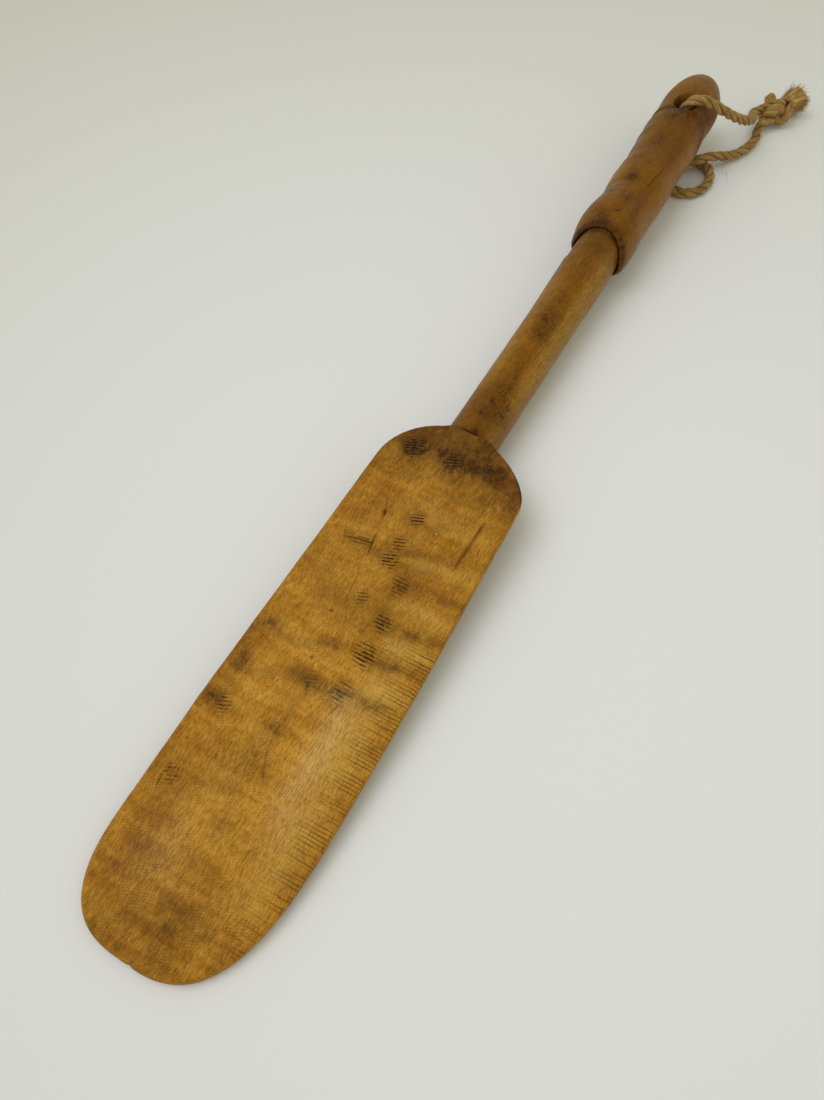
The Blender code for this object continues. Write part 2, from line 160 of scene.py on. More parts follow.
def blade_side(x, side, grow=0.0):
    d = x - TIP_X
    if side > 0:
        full = LEFT_HALF - 0.0047 * clamp((d - 0.100) / 0.145)
        tip_a, tip_p = 0.050, 2.85
        sh_a, sh_p, sh_end = 0.0340, 1.9, SHOULDER_X + 0.0010
    else:
        full = RIGHT_HALF - 0.0030 * clamp((d - 0.130) / 0.120) ** 1.3
        tip_a, tip_p = 0.094, 3.05
        sh_a, sh_p, sh_end = 0.0262, 1.65, SHOULDER_X + 0.0005
    y = full + grow
    if d < tip_a:
        mid = TIP_APEX_Y * side
        y = mid + (y - mid) * super_quarter(d / tip_a, tip_p)
    e = sh_end + grow - x
    if e < sh_a:
        y = y * super_quarter(max(e, 0.0) / sh_a, sh_p)
    return side * y


def spine_radius(x):
    t = clamp((SPINE_START_X - x) / (SPINE_START_X - SPINE_END_X))
    return SHAFT_R * (1 - smooth(t) * 0.42) * (1 - 0.66 * t ** 1.6)


GRIP_MARKS = [(LIP_X, 0.0163), (0.1315, 0.0176), (0.1355, 0.0186),
              (0.1405, 0.0193), (0.1455, 0.0196), (0.1515, 0.0193),
              (0.1585, 0.0186), (0.1655, 0.0180), (0.1725, 0.0179),
              (0.1815, 0.0184), (0.1905, 0.0186), (0.2005, 0.0184),
              (0.2105, 0.0179), (0.2205, 0.0180), (0.2325, 0.0188),
              (0.2415, 0.0191), (0.2505, 0.0187), (0.2575, 0.0182),
              (0.2645, 0.0184), (HEAD_X, HEAD_R)]


def grip_radius(x):
    if x >= HEAD_X:
        t = clamp((x - HEAD_X) / (END_X - HEAD_X))
        return HEAD_R * sqrt(max(0.0, 1 - t * t))
    for (xa, ra), (xb, rb) in zip(GRIP_MARKS, GRIP_MARKS[1:]):
        if x <= xb:
            return ra + (rb - ra) * smooth((x - xa) / (xb - xa))
    return HEAD_R


HOLE_Z = grip_axis_z(HOLE_X)
TOP_Z = HOLE_Z + grip_radius(HOLE_X)
LOW_Z = HOLE_Z - grip_radius(HOLE_X)


# ------------------------------------------------------------- value noise
def hashed(ix, iy, iz, seed):
    """A repeatable number from 0 to 1 for each lattice point."""
    h = (ix * 374761393 + iy * 668265263 + iz * 2147483647 + seed * 1274126177)
    h = (h ^ (h >> 13)) * 1274126177
    h = h ^ (h >> 16)
    return (h & 0xFFFFFF).astype(np.float64) / 0xFFFFFF


def value_noise(p, seed=0):
    """Smooth noise from -1 to 1 at the rows of p."""
    i = np.floor(p).astype(np.int64)
    f = p - i
    f = f * f * (3 - 2 * f)
    out = np.zeros(len(p))
    for dx in (0, 1):
        wx = f[:, 0] if dx else 1 - f[:, 0]
        for dy in (0, 1):
            wy = f[:, 1] if dy else 1 - f[:, 1]
            for dz in (0, 1):
                wz = f[:, 2] if dz else 1 - f[:, 2]
                out += wx * wy * wz * hashed(i[:, 0] + dx, i[:, 1] + dy, i[:, 2] + dz, seed)
    return out * 2 - 1


def fractal(p, seed=0, octaves=3):
    out, amp, total = np.zeros(len(p)), 1.0, 0.0
    for k in range(octaves):
        out += amp * value_noise(p * 2.0 ** k, seed + 17 * k)
        total += amp
        amp *= 0.5
    return out / total


def sstep(t):
    t = np.clip(t, 0, 1)
    return t * t * (3 - 2 * t)


# --------------------------------------------------------------- mesh tools
def mesh_object(name, verts, faces, smooth_angle=None):
    me = bpy.data.meshes.new(name)
    me.from_pydata([tuple(v) for v in verts], [], faces)
    me.update()
    ob = bpy.data.objects.new(name, me)
    scene.collection.objects.link(ob)
    me.shade_smooth()
    if smooth_angle:
        me.set_sharp_from_angle(angle=radians(smooth_angle))
    return ob


def ring_faces(rows, n, base=0, cap_start=True, cap_end=True):
    faces = []
    for r in range(rows - 1):
        a, b = base + r * n, base + (r + 1) * n
        for i in range(n):
            j = (i + 1) % n
            faces.append((a + i, a + j, b + j, b + i))
    if cap_start:
        faces.append(tuple(base + i for i in reversed(range(n))))
    if cap_end:
        faces.append(tuple(base + (rows - 1) * n + i for i in range(n)))
    return faces


def outward(ob):
    bm = bmesh.new()
    bm.from_mesh(ob.data)
    bmesh.ops.recalc_face_normals(bm, faces=bm.faces)
    bm.to_mesh(ob.data)
    bm.free()


def subtract(ob, *cutters):
    """Cuts the cutters out of ob for good."""
    for c in cutters:
        mod = ob.modifiers.new("cut", "BOOLEAN")
        mod.operation = "DIFFERENCE"
        mod.solver = "EXACT"
        mod.object = c
    dg = bpy.context.evaluated_depsgraph_get()
    dg.update()
    me = bpy.data.meshes.new_from_object(ob.evaluated_get(dg))
    ob.modifiers.clear()
    old = ob.data
    ob.data = me
    bpy.data.meshes.remove(old)
    me.name = ob.name
    for c in cutters:
        bpy.data.objects.remove(c, do_unlink=True)
    return ob


def coords(ob):
    co = np.zeros(len(ob.data.vertices) * 3)
    ob.data.vertices.foreach_get("co", co)
    return co.reshape(-1, 3)


def normals(ob):
    no = np.zeros(len(ob.data.vertices) * 3, np.float32)
    ob.data.vertices.foreach_get("normal", no)
    return no.reshape(-1, 3).astype(float)


def set_coords(ob, co):
    ob.data.vertices.foreach_set("co", co.reshape(-1).astype(np.float32))
    ob.data.update()


def paint(ob, name, r, g, b, a):
    """A painted layer on the vertices: four amounts from 0 to 1."""
    att = ob.data.attributes.new(name, "FLOAT_COLOR", "POINT")
    data = np.stack([np.clip(c, 0, 1) for c in (r, g, b, a)], 1).astype(np.float32)
    att.data.foreach_set("color", data.reshape(-1))


def blob(u, v, cu, cv, ru, rv, turn=0.0, power=1.0):
    """A soft oval spot."""
    c, s = cos(turn), sin(turn)
    du, dv = u - cu, v - cv
    a = (du * c + dv * s) / ru
    b = (-du * s + dv * c) / rv
    return np.exp(-((a * a + b * b) ** power))


def line(u, v, points, width, fade=0.6):
    """A thin line through the points: 1 on it, 0 beyond its width."""
    best = np.full(len(u), 9.0)
    for (x0, y0), (x1, y1) in zip(points, points[1:]):
        dx, dy = x1 - x0, y1 - y0
        t = np.clip(((u - x0) * dx + (v - y0) * dy) / (dx * dx + dy * dy), 0, 1)
        w = width * (1 - fade * np.abs(2 * t - 1) ** 3) if len(points) == 2 else width
        best = np.minimum(best, np.hypot(u - x0 - t * dx, v - y0 - t * dy) / w)
    return np.clip(1.15 - best, 0, 1)


def ribbon(u, v, points, width):
    """A soft-edged band through the points."""
    best = np.full(len(u), 9.0)
    for (x0, y0), (x1, y1) in zip(points, points[1:]):
        dx, dy = x1 - x0, y1 - y0
        t = np.clip(((u - x0) * dx + (v - y0) * dy) / (dx * dx + dy * dy), 0, 1)
        best = np.minimum(best, np.hypot(u - x0 - t * dx, v - y0 - t * dy))
    return np.exp(-(best / width) ** 2)


# ------------------------------------------------------------ material tools
class Nodes:
    """Short names for building a material's node tree."""

    def __init__(self, name):
        self.mat = bpy.data.materials.new(name)
        self.mat.use_nodes = True
        self.tree = self.mat.node_tree
        self.bsdf = self.tree.nodes["Principled BSDF"]
        self.coord = self.tree.nodes.new("ShaderNodeTexCoord").outputs["Object"]

    def link(self, a, b):
        self.tree.links.new(a, b)

    def put(self, socket, value):
        if hasattr(value, "links") or hasattr(value, "is_linked"):
            self.link(value, socket)
        else:
            socket.default_value = value

    def scaled(self, sx, sy, sz, turn=0.0, source=None):
        n = self.tree.nodes.new("ShaderNodeMapping")
        self.link(source or self.coord, n.inputs["Vector"])
        n.inputs["Scale"].default_value = (sx, sy, sz)
        n.inputs["Rotation"].default_value = (0, 0, turn)
        return n.outputs["Vector"]

    def noise(self, vector, detail=3.0, rough=0.55, distortion=0.0, scale=1.0):
        n = self.tree.nodes.new("ShaderNodeTexNoise")
        self.link(vector, n.inputs["Vector"])
        n.inputs["Scale"].default_value = scale
        n.inputs["Detail"].default_value = detail
        n.inputs["Roughness"].default_value = rough
        n.inputs["Distortion"].default_value = distortion
        return n.outputs["Fac"]

    def math(self, op, a, b=0.0, c=None, clamped=False):
        n = self.tree.nodes.new("ShaderNodeMath")
        n.operation = op
        n.use_clamp = clamped
        self.put(n.inputs[0], a)
        self.put(n.inputs[1], b)
        if c is not None:
            self.put(n.inputs[2], c)
        return n.outputs[0]

    def fit(self, value, lo, hi, out_lo=0.0, out_hi=1.0):
        n = self.tree.nodes.new("ShaderNodeMapRange")
        n.interpolation_type = "SMOOTHSTEP"
        self.put(n.inputs["Value"], value)
        n.inputs["From Min"].default_value = lo
        n.inputs["From Max"].default_value = hi
        n.inputs["To Min"].default_value = out_lo
        n.inputs["To Max"].default_value = out_hi
        return n.outputs["Result"]

    def ramp(self, value, stops):
        n = self.tree.nodes.new("ShaderNodeValToRGB")
        self.link(value, n.inputs["Fac"])
        el = n.color_ramp.elements
        while len(el) > 2:
            el.remove(el[-1])
        for k, (pos, col) in enumerate(stops[:2]):
            el[k].position = pos
            el[k].color = (*col, 1)
        for pos, col in stops[2:]:
            el.new(pos).color = (*col, 1)
        return n.outputs["Color"]

    def mix(self, fac, a, b, mode="MIX"):
        n = self.tree.nodes.new("ShaderNodeMix")
        n.data_type = "RGBA"
        n.blend_type = mode
        self.put(n.inputs[0], fac)
        for socket, value in ((n.inputs[6], a), (n.inputs[7], b)):
            if isinstance(value, tuple):
                socket.default_value = (*value, 1)
            else:
                self.link(value, socket)
        return n.outputs[2]

    def layer(self, name):
        n = self.tree.nodes.new("ShaderNodeAttribute")
        n.attribute_type = "GEOMETRY"
        n.attribute_name = name
        s = self.tree.nodes.new("ShaderNodeSeparateColor")
        self.link(n.outputs["Color"], s.inputs["Color"])
        return s.outputs[0], s.outputs[1], s.outputs[2], n.outputs["Alpha"]

    def bump(self, height, distance, strength=1.0, normal=None):
        n = self.tree.nodes.new("ShaderNodeBump")
        n.inputs["Distance"].default_value = distance
        n.inputs["Strength"].default_value = strength
        self.link(height, n.inputs["Height"])
        if normal is not None:
            self.link(normal, n.inputs["Normal"])
        return n.outputs["Normal"]


def wood_material(name, deep, dark, mid, light, curl=1.0, painted=True, rough=0.36,
                  shade_and_stain_colour=(0.058, 0.022, 0.005), gold=(0.60, 0.34, 0.060),
                  red=(0.130, 0.028, 0.005), spec=0.36, fleck=1.0):
    """Oiled curly wood: grain along X, bands of figure across it."""
    m = Nodes(name)
    fibre = m.noise(m.scaled(300, 2300, 2300), 3, 0.70, 0.15)
    hair = m.noise(m.scaled(70, 2600, 2600), 2, 0.6, 0.1)
    streak = m.noise(m.scaled(8, 150, 150), 4, 0.62, 0.4)
    broad = m.noise(m.scaled(11, 30, 30), 2, 0.5, 0.4)
    bands = m.noise(m.scaled(88, 17, 17, 0.30), 2, 0.5, 1.2)
    fine_bands = m.noise(m.scaled(300, 70, 70, 0.25), 2, 0.6, 0.8)
    mottle = m.noise(m.scaled(85, 60, 60), 5, 0.62, 0.6)
    f = m.math("MULTIPLY_ADD", streak, 0.26, 0.06)
    f = m.math("ADD", f, m.math("MULTIPLY", broad, 0.24))
    f = m.math("ADD", f, m.math("MULTIPLY", m.fit(bands, 0.32, 0.68), 0.09 * curl))
    f = m.math("ADD", f, m.math("MULTIPLY", m.fit(fine_bands, 0.3, 0.7), 0.06 * curl))
    f = m.math("ADD", f, m.math("MULTIPLY", mottle, 0.12))
    f = m.math("ADD", f, m.math("MULTIPLY", fibre, 0.12))
    f = m.fit(f, 0.22, 0.69)
    col = m.ramp(f, [(0.0, deep), (1.0, light), (0.33, dark), (0.66, mid)])
    # glints and shadows between the fibres
    grain = m.math("ADD", m.math("MULTIPLY", m.fit(fibre, 0.32, 0.68), 0.66), m.math("MULTIPLY", m.fit(hair, 0.3, 0.7), 0.34))
    shade = m.fit(grain, 0.10, 0.90, 1.0 - 0.34 * fleck, 1.0 + 0.32 * fleck)
    tint = m.tree.nodes.new("ShaderNodeCombineColor")
    for k in range(3):
        m.link(shade, tint.inputs[k])
    col = m.mix(1.0, col, tint.outputs[0], "MULTIPLY")
    # pores: short dark flecks along the grain
    pores = m.noise(m.scaled(240, 1500, 1500), 2, 0.6)
    pore = m.fit(pores, 0.63, 0.72)
    specks = m.noise(m.scaled(700, 900, 900), 1, 0.5)
    pore = m.math("MAXIMUM", pore, m.math("MULTIPLY", m.fit(specks, 0.72, 0.79), 0.6))
    col = m.mix(m.math("MULTIPLY", pore, 0.42), col, shade_and_stain_colour)
    height = m.math("MULTIPLY", pore, -0.5)
    if painted:
        soft, mark, gold_figure_and_sheen, rust = m.layer("paint")
        hatch, crumbs, sheen, chatter = m.layer("more")
        breakup = m.noise(m.scaled(230, 420, 420), 4, 0.70)
        grit = m.noise(m.scaled(950, 1600, 1600), 1, 0.5)
        # the dark layer: real stains together with painted shade, broken up by noise
        stain_and_shade = m.math("MULTIPLY", soft, m.fit(breakup, 0.30, 0.66, 0.60, 1.25))
        dots = m.math("MULTIPLY", crumbs, m.fit(grit, 0.53, 0.62), clamped=True)
        axes = m.tree.nodes.new("ShaderNodeSeparateXYZ")
        m.link(m.coord, axes.inputs[0])
        wobble = m.noise(m.scaled(230, 150, 150), 1, 0.5)
        ripple = m.math("MULTIPLY_ADD", axes.outputs[1], 0.42, axes.outputs[0])
        ripple = m.math("MULTIPLY_ADD", wobble, 0.0014, ripple)
        ripple = m.math("SINE", m.math("MULTIPLY", ripple, 2 * pi / 0.00120))
        patches = m.noise(m.scaled(150, 90, 90), 3, 0.6)
        ripple = m.math("MULTIPLY", m.fit(ripple, 0.0, 0.9), m.fit(patches, 0.46, 0.66))
        col = m.mix(m.math("MULTIPLY", ripple, 0.30 * curl), col, shade_and_stain_colour)
        slant = m.math("MULTIPLY_ADD", m.math("MAXIMUM", axes.outputs[1], -0.0065), 0.38, axes.outputs[0])
        slant = m.math("MULTIPLY_ADD", axes.outputs[1], 0.05, slant)
        slant = m.math("MULTIPLY_ADD", wobble, 0.00085, slant)
        dash = m.math("SINE", m.math("MULTIPLY", slant, 2 * pi / 0.00185))
        broken = m.noise(m.scaled(900, 360, 360), 1, 0.5)
        dash = m.math("MULTIPLY", m.fit(dash, 0.10, 0.62), m.fit(broken, 0.34, 0.50))
        dash = m.math("MULTIPLY", chatter, dash, clamped=True)
        slant = m.math("MULTIPLY_ADD", axes.outputs[1], 0.06, axes.outputs[0])
        slant = m.math("MULTIPLY_ADD", wobble, 0.0010, slant)
        strokes = m.math("SINE", m.math("MULTIPLY", slant, 2 * pi / 0.00170))
        lengths = m.noise(m.scaled(640, 55, 55, 0.06), 1, 0.5)
        strokes = m.math("MULTIPLY", m.fit(strokes, 0.25, 0.85), m.fit(lengths, 0.36, 0.54))
        strokes = m.math("MULTIPLY", hatch, strokes, clamped=True)
        # gold layer: lighter bands of the figure, and painted sheen and highlights, mixed towards the gold colour
        col = m.mix(m.math("MULTIPLY", gold_figure_and_sheen, m.fit(grain, 0.2, 0.7, 0.35, 1.0), clamped=True), col, gold)
        col = m.mix(m.math("MULTIPLY", rust, 0.8, clamped=True), col, red)
        col = m.mix(m.math("MULTIPLY", stain_and_shade, 0.88, clamped=True), col, shade_and_stain_colour)
        col = m.mix(m.math("MULTIPLY", strokes, 0.74, clamped=True), col, tuple(c * 0.8 for c in shade_and_stain_colour))
        deepest = tuple(c * 0.30 for c in shade_and_stain_colour)
        col = m.mix(m.math("MULTIPLY", dots, 0.85, clamped=True), col, deepest)
        col = m.mix(m.math("MULTIPLY", dash, 1.0, clamped=True), col, deepest)
        col = m.mix(m.math("MULTIPLY", mark, m.fit(grit, 0.25, 0.55, 0.55, 1.0), clamped=True), col, deepest)
        height = m.math("SUBTRACT", height, m.math("MULTIPLY", mark, 1.6))
        height = m.math("SUBTRACT", height, m.math("MULTIPLY", strokes, 0.8))
        height = m.math("SUBTRACT", height, m.math("MULTIPLY", dash, 1.2))
        # painted highlight: the pale sheen layer lightens the colour along the grain
        col = m.mix(m.math("MULTIPLY", sheen, m.fit(grain, 0.25, 0.75, 0.15, 1.0), clamped=True), col, (0.72, 0.50, 0.24))
    height = m.math("ADD", height, m.math("MULTIPLY", fibre, 0.9))
    height = m.math("ADD", height, m.math("MULTIPLY", fine_bands, 0.45 * curl))
    m.link(col, m.bsdf.inputs["Base Color"])
    m.link(m.fit(m.math("ADD", streak, mottle), 0.7, 1.3, rough - 0.05, rough + 0.12),
           m.bsdf.inputs["Roughness"])
    m.link(m.bump(height, 0.00026 * fleck, 0.95), m.bsdf.inputs["Normal"])
    m.bsdf.inputs["Specular IOR Level"].default_value = spec
    m.bsdf.inputs["IOR"].default_value = 1.46
    m.bsdf.inputs["Specular Tint"].default_value = (1.0, 0.74, 0.36, 1)
    return m.mat


def finish(ob, mat, slot, body, *nodes):
    ob.data.materials.clear()
    ob.data.materials.append(mat)
    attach(ob, body)
    if nodes:
        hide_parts(*nodes)
    return ob


# ---------------------------------------------------------------- the cord
# the route of the CAD's tube, point for point
KNOT_A = Vector((0.3275, -0.0379, 0.0099))
KNOT_B = Vector((0.3490, -0.0477, 0.0097))
KNOT_AXIS = (KNOT_B - KNOT_A).normalized()
KNOT_SIDE = Vector((0, 0, 1)).cross(KNOT_AXIS).normalized()
KNOT_UP = KNOT_AXIS.cross(KNOT_SIDE).normalized()
KNOT_LEN = (KNOT_B - KNOT_A).length
UPPER_END = KNOT_A - KNOT_AXIS * 0.0005 + KNOT_SIDE * 0.0038 + KNOT_UP * 0.0020
LOWER_END = KNOT_A - KNOT_AXIS * 0.0005 - KNOT_SIDE * 0.0036 - KNOT_UP * 0.0034


def arc_out(z_start, sign, heading, radius, sweep, n):
    out = []
    for i in range(n + 1):
        a = sweep * i / n
        s = radius * (1 - cos(a))
        out.append(Vector((HOLE_X + s * cos(heading), HOLE_Y + s * sin(heading),
                           z_start + sign * radius * sin(a))))
    return out


upper = arc_out(TOP_Z - 0.0075, 1, radians(-74), CORD_BEND, radians(108), 5)
upper += [Vector((0.2668, -0.0204, 0.0408)), Vector((0.2757, -0.0266, 0.0340)),
          Vector((0.2872, -0.0318, 0.0268)), Vector((0.3010, -0.0342, 0.0200)),
          Vector((0.3130, -0.0332, 0.0148))]
# lower fall, from the hole's bottom mouth round its loop and to the knot
lower = arc_out(LOW_Z + 0.0082, -1, radians(-56), 0.0128, radians(74), 4)
lower += [Vector((0.2650, -0.0115, CORD_Z + 0.0004)), Vector((0.2659, -0.0178, CORD_Z)),
          Vector((0.2628, -0.0238, CORD_Z)), Vector((0.2562, -0.0276, CORD_Z)),
          Vector((0.2484, -0.0285, CORD_Z)), Vector((0.2405, -0.0271, CORD_Z)),
          Vector((0.2340, -0.0225, CORD_Z)), Vector((0.2308, -0.0156, CORD_Z)),
          Vector((0.2332, -0.0088, CORD_Z)), Vector((0.2398, -0.0054, CORD_Z)),
          Vector((0.2470, -0.0070, 0.0042)), Vector((0.2538, -0.0116, 0.0074)),
          Vector((0.2595, -0.0168, 0.0098)), Vector((0.2650, -0.0218, 0.0102)),
          Vector((0.2720, -0.0268, 0.0082)), Vector((0.2800, -0.0312, 0.0050)),
          Vector((0.2890, -0.0356, CORD_Z + 0.0003)), Vector((0.2990, -0.0392, CORD_Z + 0.0002)),
          Vector((0.3085, -0.0404, 0.0036)), Vector((0.3160, -0.0392, 0.0052))]


def curve_through(points, spacing, fine=24):
    """Evenly spaced points on a smooth curve through the given ones."""
    dense = []
    p = [points[0] * 2 - points[1]] + list(points) + [points[-1] * 2 - points[-2]]
    for k in range(1, len(p) - 2):
        p0, p1, p2, p3 = p[k - 1], p[k], p[k + 1], p[k + 2]
        t0 = 0.0
        t1 = t0 + sqrt((p1 - p0).length)
        t2 = t1 + sqrt((p2 - p1).length)
        t3 = t2 + sqrt((p3 - p2).length)
        for i in range(fine):
            t = t1 + (t2 - t1) * i / fine
            a1 = p0 * ((t1 - t) / (t1 - t0)) + p1 * ((t - t0) / (t1 - t0))
            a2 = p1 * ((t2 - t) / (t2 - t1)) + p2 * ((t - t1) / (t2 - t1))
            a3 = p2 * ((t3 - t) / (t3 - t2)) + p3 * ((t - t2) / (t3 - t2))
            b1 = a1 * ((t2 - t) / (t2 - t0)) + a2 * ((t - t0) / (t2 - t0))
            b2 = a2 * ((t3 - t) / (t3 - t1)) + a3 * ((t - t1) / (t3 - t1))
            dense.append(b1 * ((t2 - t) / (t2 - t1)) + b2 * ((t - t1) / (t2 - t1)))
    dense.append(p[-2])
    dist = [0.0]
    for a, b in zip(dense, dense[1:]):
        dist.append(dist[-1] + (b - a).length)
    n = max(2, round(dist[-1] / spacing))
    out, j = [], 0
    for i in range(n + 1):
        s = dist[-1] * i / n
        while j < len(dist) - 2 and dist[j + 1] < s:
            j += 1
        f = clamp((s - dist[j]) / max(dist[j + 1] - dist[j], 1e-9))
        out.append(dense[j].lerp(dense[j + 1], f))
    return out


route = [UPPER_END, UPPER_END - KNOT_AXIS * 0.0070] + upper[::-1]
route += lower + [LOWER_END - KNOT_AXIS * 0.0050, LOWER_END]
whole = curve_through(route, 0.00040, 48)
inside = [i for i, q in enumerate(whole)
          if abs(q.x - HOLE_X) < 0.002 and abs(q.y - HOLE_Y) < 0.002]
middle = min(inside, key=lambda i: abs(whole[i].z - HOLE_Z))
upper_path = whole[:middle + 1][::-1]
lower_path = whole[middle:]

STRAND_OFF, STRAND_R = 0.00128, 0.00182


def frames_along(pts):
    """Tangents and two side directions carried along the points."""
    p = np.array([tuple(q) for q in pts])
    t = np.gradient(p, axis=0)
    t /= np.linalg.norm(t, axis=1)[:, None]
    side = np.zeros_like(p)
    s = np.cross(t[0], (0.31, 0.22, 0.93))
    s /= np.linalg.norm(s)
    side[0] = s
    for i in range(1, len(p)):
        s = s - t[i] * np.dot(s, t[i])
        s /= np.linalg.norm(s)
        side[i] = s
    return p, t, side, np.cross(t, side)


def laid_rope(pts, pitch=0.0255, phase=0.0, around=42, scale=None, seed=3, size=1.0):
    """A three-strand laid rope: points, faces and its fibre coordinates."""
    p, t, side, up = frames_along(pts)
    n = len(p)
    step = np.linalg.norm(np.diff(p, axis=0), axis=1)
    s = np.concatenate([[0], np.cumsum(step)])
    phi = np.linspace(0, 2 * pi, around, endpoint=False)
    S, PHI = np.meshgrid(s, phi, indexing="ij")
    turn = PHI - phase - 2 * pi * S / pitch
    third = 2 * pi / 3
    strand = np.floor((turn + third / 2) / third)
    d = turn - strand * third
    r = STRAND_OFF * np.cos(d) + np.sqrt(np.maximum(STRAND_R ** 2 - (STRAND_OFF * np.sin(d)) ** 2, 1e-9))
    local = np.arctan2(r * np.sin(d), r * np.cos(d) - STRAND_OFF)
    q = np.stack([(S * 150).ravel(), (local * 1.9 + strand * 7.3).ravel(), np.full(S.size, 0.5)], 1)
    q[:, 1] += (S * 260).ravel() * 0.35
    r = r + (value_noise(q, seed) * 0.00011).reshape(S.shape)
    slow = value_noise(np.stack([s * 60, s * 0 + seed, s * 0], 1), seed + 5)
    r = r * (1 + 0.035 * slow)[:, None] * size
    if scale is not None:
        r = r * np.asarray(scale)[:, None]
    v = (p[:, None, :] + side[:, None, :] * (r * np.cos(PHI))[:, :, None]
         + up[:, None, :] * (r * np.sin(PHI))[:, :, None])
    faces = ring_faces(n, around)
    k = np.mod(strand, 3)
    fib = np.stack([S.ravel(), (local * STRAND_R).ravel() + 0.02 * k.ravel(),
                    (r / (STRAND_OFF + STRAND_R)).ravel()], 1)
    return v.reshape(-1, 3), faces, fib


def build_rope(name, bits):
    verts, faces, fibs, base = [], [], [], 0
    for v, f, a in bits:
        verts.append(v)
        fibs.append(a)
        faces += [tuple(base + i for i in face) for face in f]
        base += len(v)
    ob = mesh_object(name, np.concatenate(verts), faces)
    outward(ob)
    att = ob.data.attributes.new("fib", "FLOAT_VECTOR", "POINT")
    att.data.foreach_set("vector", np.concatenate(fibs).astype(np.float32).reshape(-1))
    return ob


def keep_above(ob, z=0.00005):
    co = coords(ob)
    co[:, 2] = np.maximum(co[:, 2], z)
    set_coords(ob, co)


def taper_ends(n, k=10, lo=0.55):
    w = np.ones(n)
    for i in range(k):
        w[i] = w[n - 1 - i] = lo + (1 - lo) * sqrt(i / k)
    return w


upper_rope = build_rope("lanyard_upper_fall", [laid_rope(upper_path, phase=0.4, seed=3)])
lower_rope = build_rope("lanyard_lower_fall", [laid_rope(lower_path, phase=2.1, seed=11)])
keep_above(lower_rope)


# the overhand knot: three lobes of the cord drawn tight round each other
def knot_point(a, s, u):
    return KNOT_A + KNOT_AXIS * a + KNOT_SIDE * s + KNOT_UP * u


def knot_curve(n=260):
    pts = []
    for i in range(n):
        t = 2 * pi * i / n
        a = 0.0112 + 0.00292 * (sin(t) + 2 * sin(2 * t)) * 0.98
        s = 0.00285 * (cos(t) - 2 * cos(2 * t))
        u = -0.0002 - 0.0043 * sin(3 * t)
        c, d = cos(0.55), sin(0.55)
        a0 = a - 0.0112
        pts.append(knot_point(0.0112 + a0 * c - s * d, a0 * d + s * c, u))
    return pts


ring = knot_curve()
start = max(range(len(ring)), key=lambda i: (ring[i] - KNOT_A).dot(KNOT_AXIS))
ring = ring[start:] + ring[:start]
loop_pts = curve_through(ring[::6] + [ring[0]], 0.00045, 8)
ends_in = [curve_through([UPPER_END + KNOT_AXIS * 0.0003, knot_point(0.0045, 0.0034, 0.0026),
                          knot_point(0.0100, 0.0010, 0.0034), knot_point(0.0150, -0.0030, 0.0010)], 0.00045, 12),
           curve_through([LOWER_END + KNOT_AXIS * 0.0003, knot_point(0.0048, -0.0036, -0.0030),
                          knot_point(0.0100, -0.0010, -0.0030), knot_point(0.0150, 0.0030, -0.0012)], 0.00045, 12)]
ends_out = [curve_through([knot_point(0.0120, -0.0014, 0.0016), knot_point(0.0180, -0.0016, 0.0012),
                           knot_point(KNOT_LEN + 0.0004, -0.0018, 0.0010)], 0.00045, 12),
            curve_through([knot_point(0.0120, 0.0016, -0.0012), knot_point(0.0180, 0.0018, -0.0010),
                           knot_point(KNOT_LEN + 0.0004, 0.0020, -0.0008)], 0.00045, 12)]
bits = [laid_rope(loop_pts, 0.0210, 0.3, 36, taper_ends(len(loop_pts)), 21, 1.16)]
for k, pts in enumerate(ends_in):
    bits.append(laid_rope(pts, 0.0240, 0.4 + k, 36, None, 31 + k, 0.98))
for k, pts in enumerate(ends_out):
    bits.append(laid_rope(pts, 0.0220, 1.4 + k, 36, None, 41 + k, 0.95))
knot = build_rope("lanyard_knot_tied", bits)
keep_above(knot)


# loose fibres: hair-thin curved tubes
class Hairs:
    def __init__(self, seed):
        self.rng = np.random.default_rng(seed)
        self.verts, self.faces, self.fib = [], [], []

    def add(self, base, direction, length, curl, radius, segs=5, droop=0.0, tip=0.35):
        rng = self.rng
        d = Vector(direction).normalized()
        side = d.cross(Vector(rng.normal(size=3))).normalized()
        pos = Vector(base)
        start = len(self.verts)
        ident = rng.random()
        for k in range(segs + 1):
            f = k / segs
            b = d.cross(side).normalized()
            r = radius * (1 - (1 - tip) * f)
            for j in range(3):
                a = 2 * pi * j / 3
                q = pos + side * (r * cos(a)) + b * (r * sin(a))
                self.verts.append((q.x, q.y, max(q.z, 0.00004)))
                self.fib.append((f * length, ident, 0.9))
            d = (d + side * curl * (1.0 / segs) + Vector((0, 0, -droop / segs))).normalized()
            side = (side - d * side.dot(d)).normalized()
            pos = pos + d * (length / segs)
        for k in range(segs):
            a, b = start + 3 * k, start + 3 * (k + 1)
            for j in range(3):
                m = (j + 1) % 3
                self.faces.append((a + j, a + m, b + m, b + j))
        self.faces.append((start, start + 2, start + 1))
        e = start + 3 * segs
        self.faces.append((e, e + 1, e + 2))

    def build(self, name):
        ob = mesh_object(name, self.verts, self.faces)
        att = ob.data.attributes.new("fib", "FLOAT_VECTOR", "POINT")
        att.data.foreach_set("vector", np.array(self.fib, np.float32).reshape(-1))
        return ob


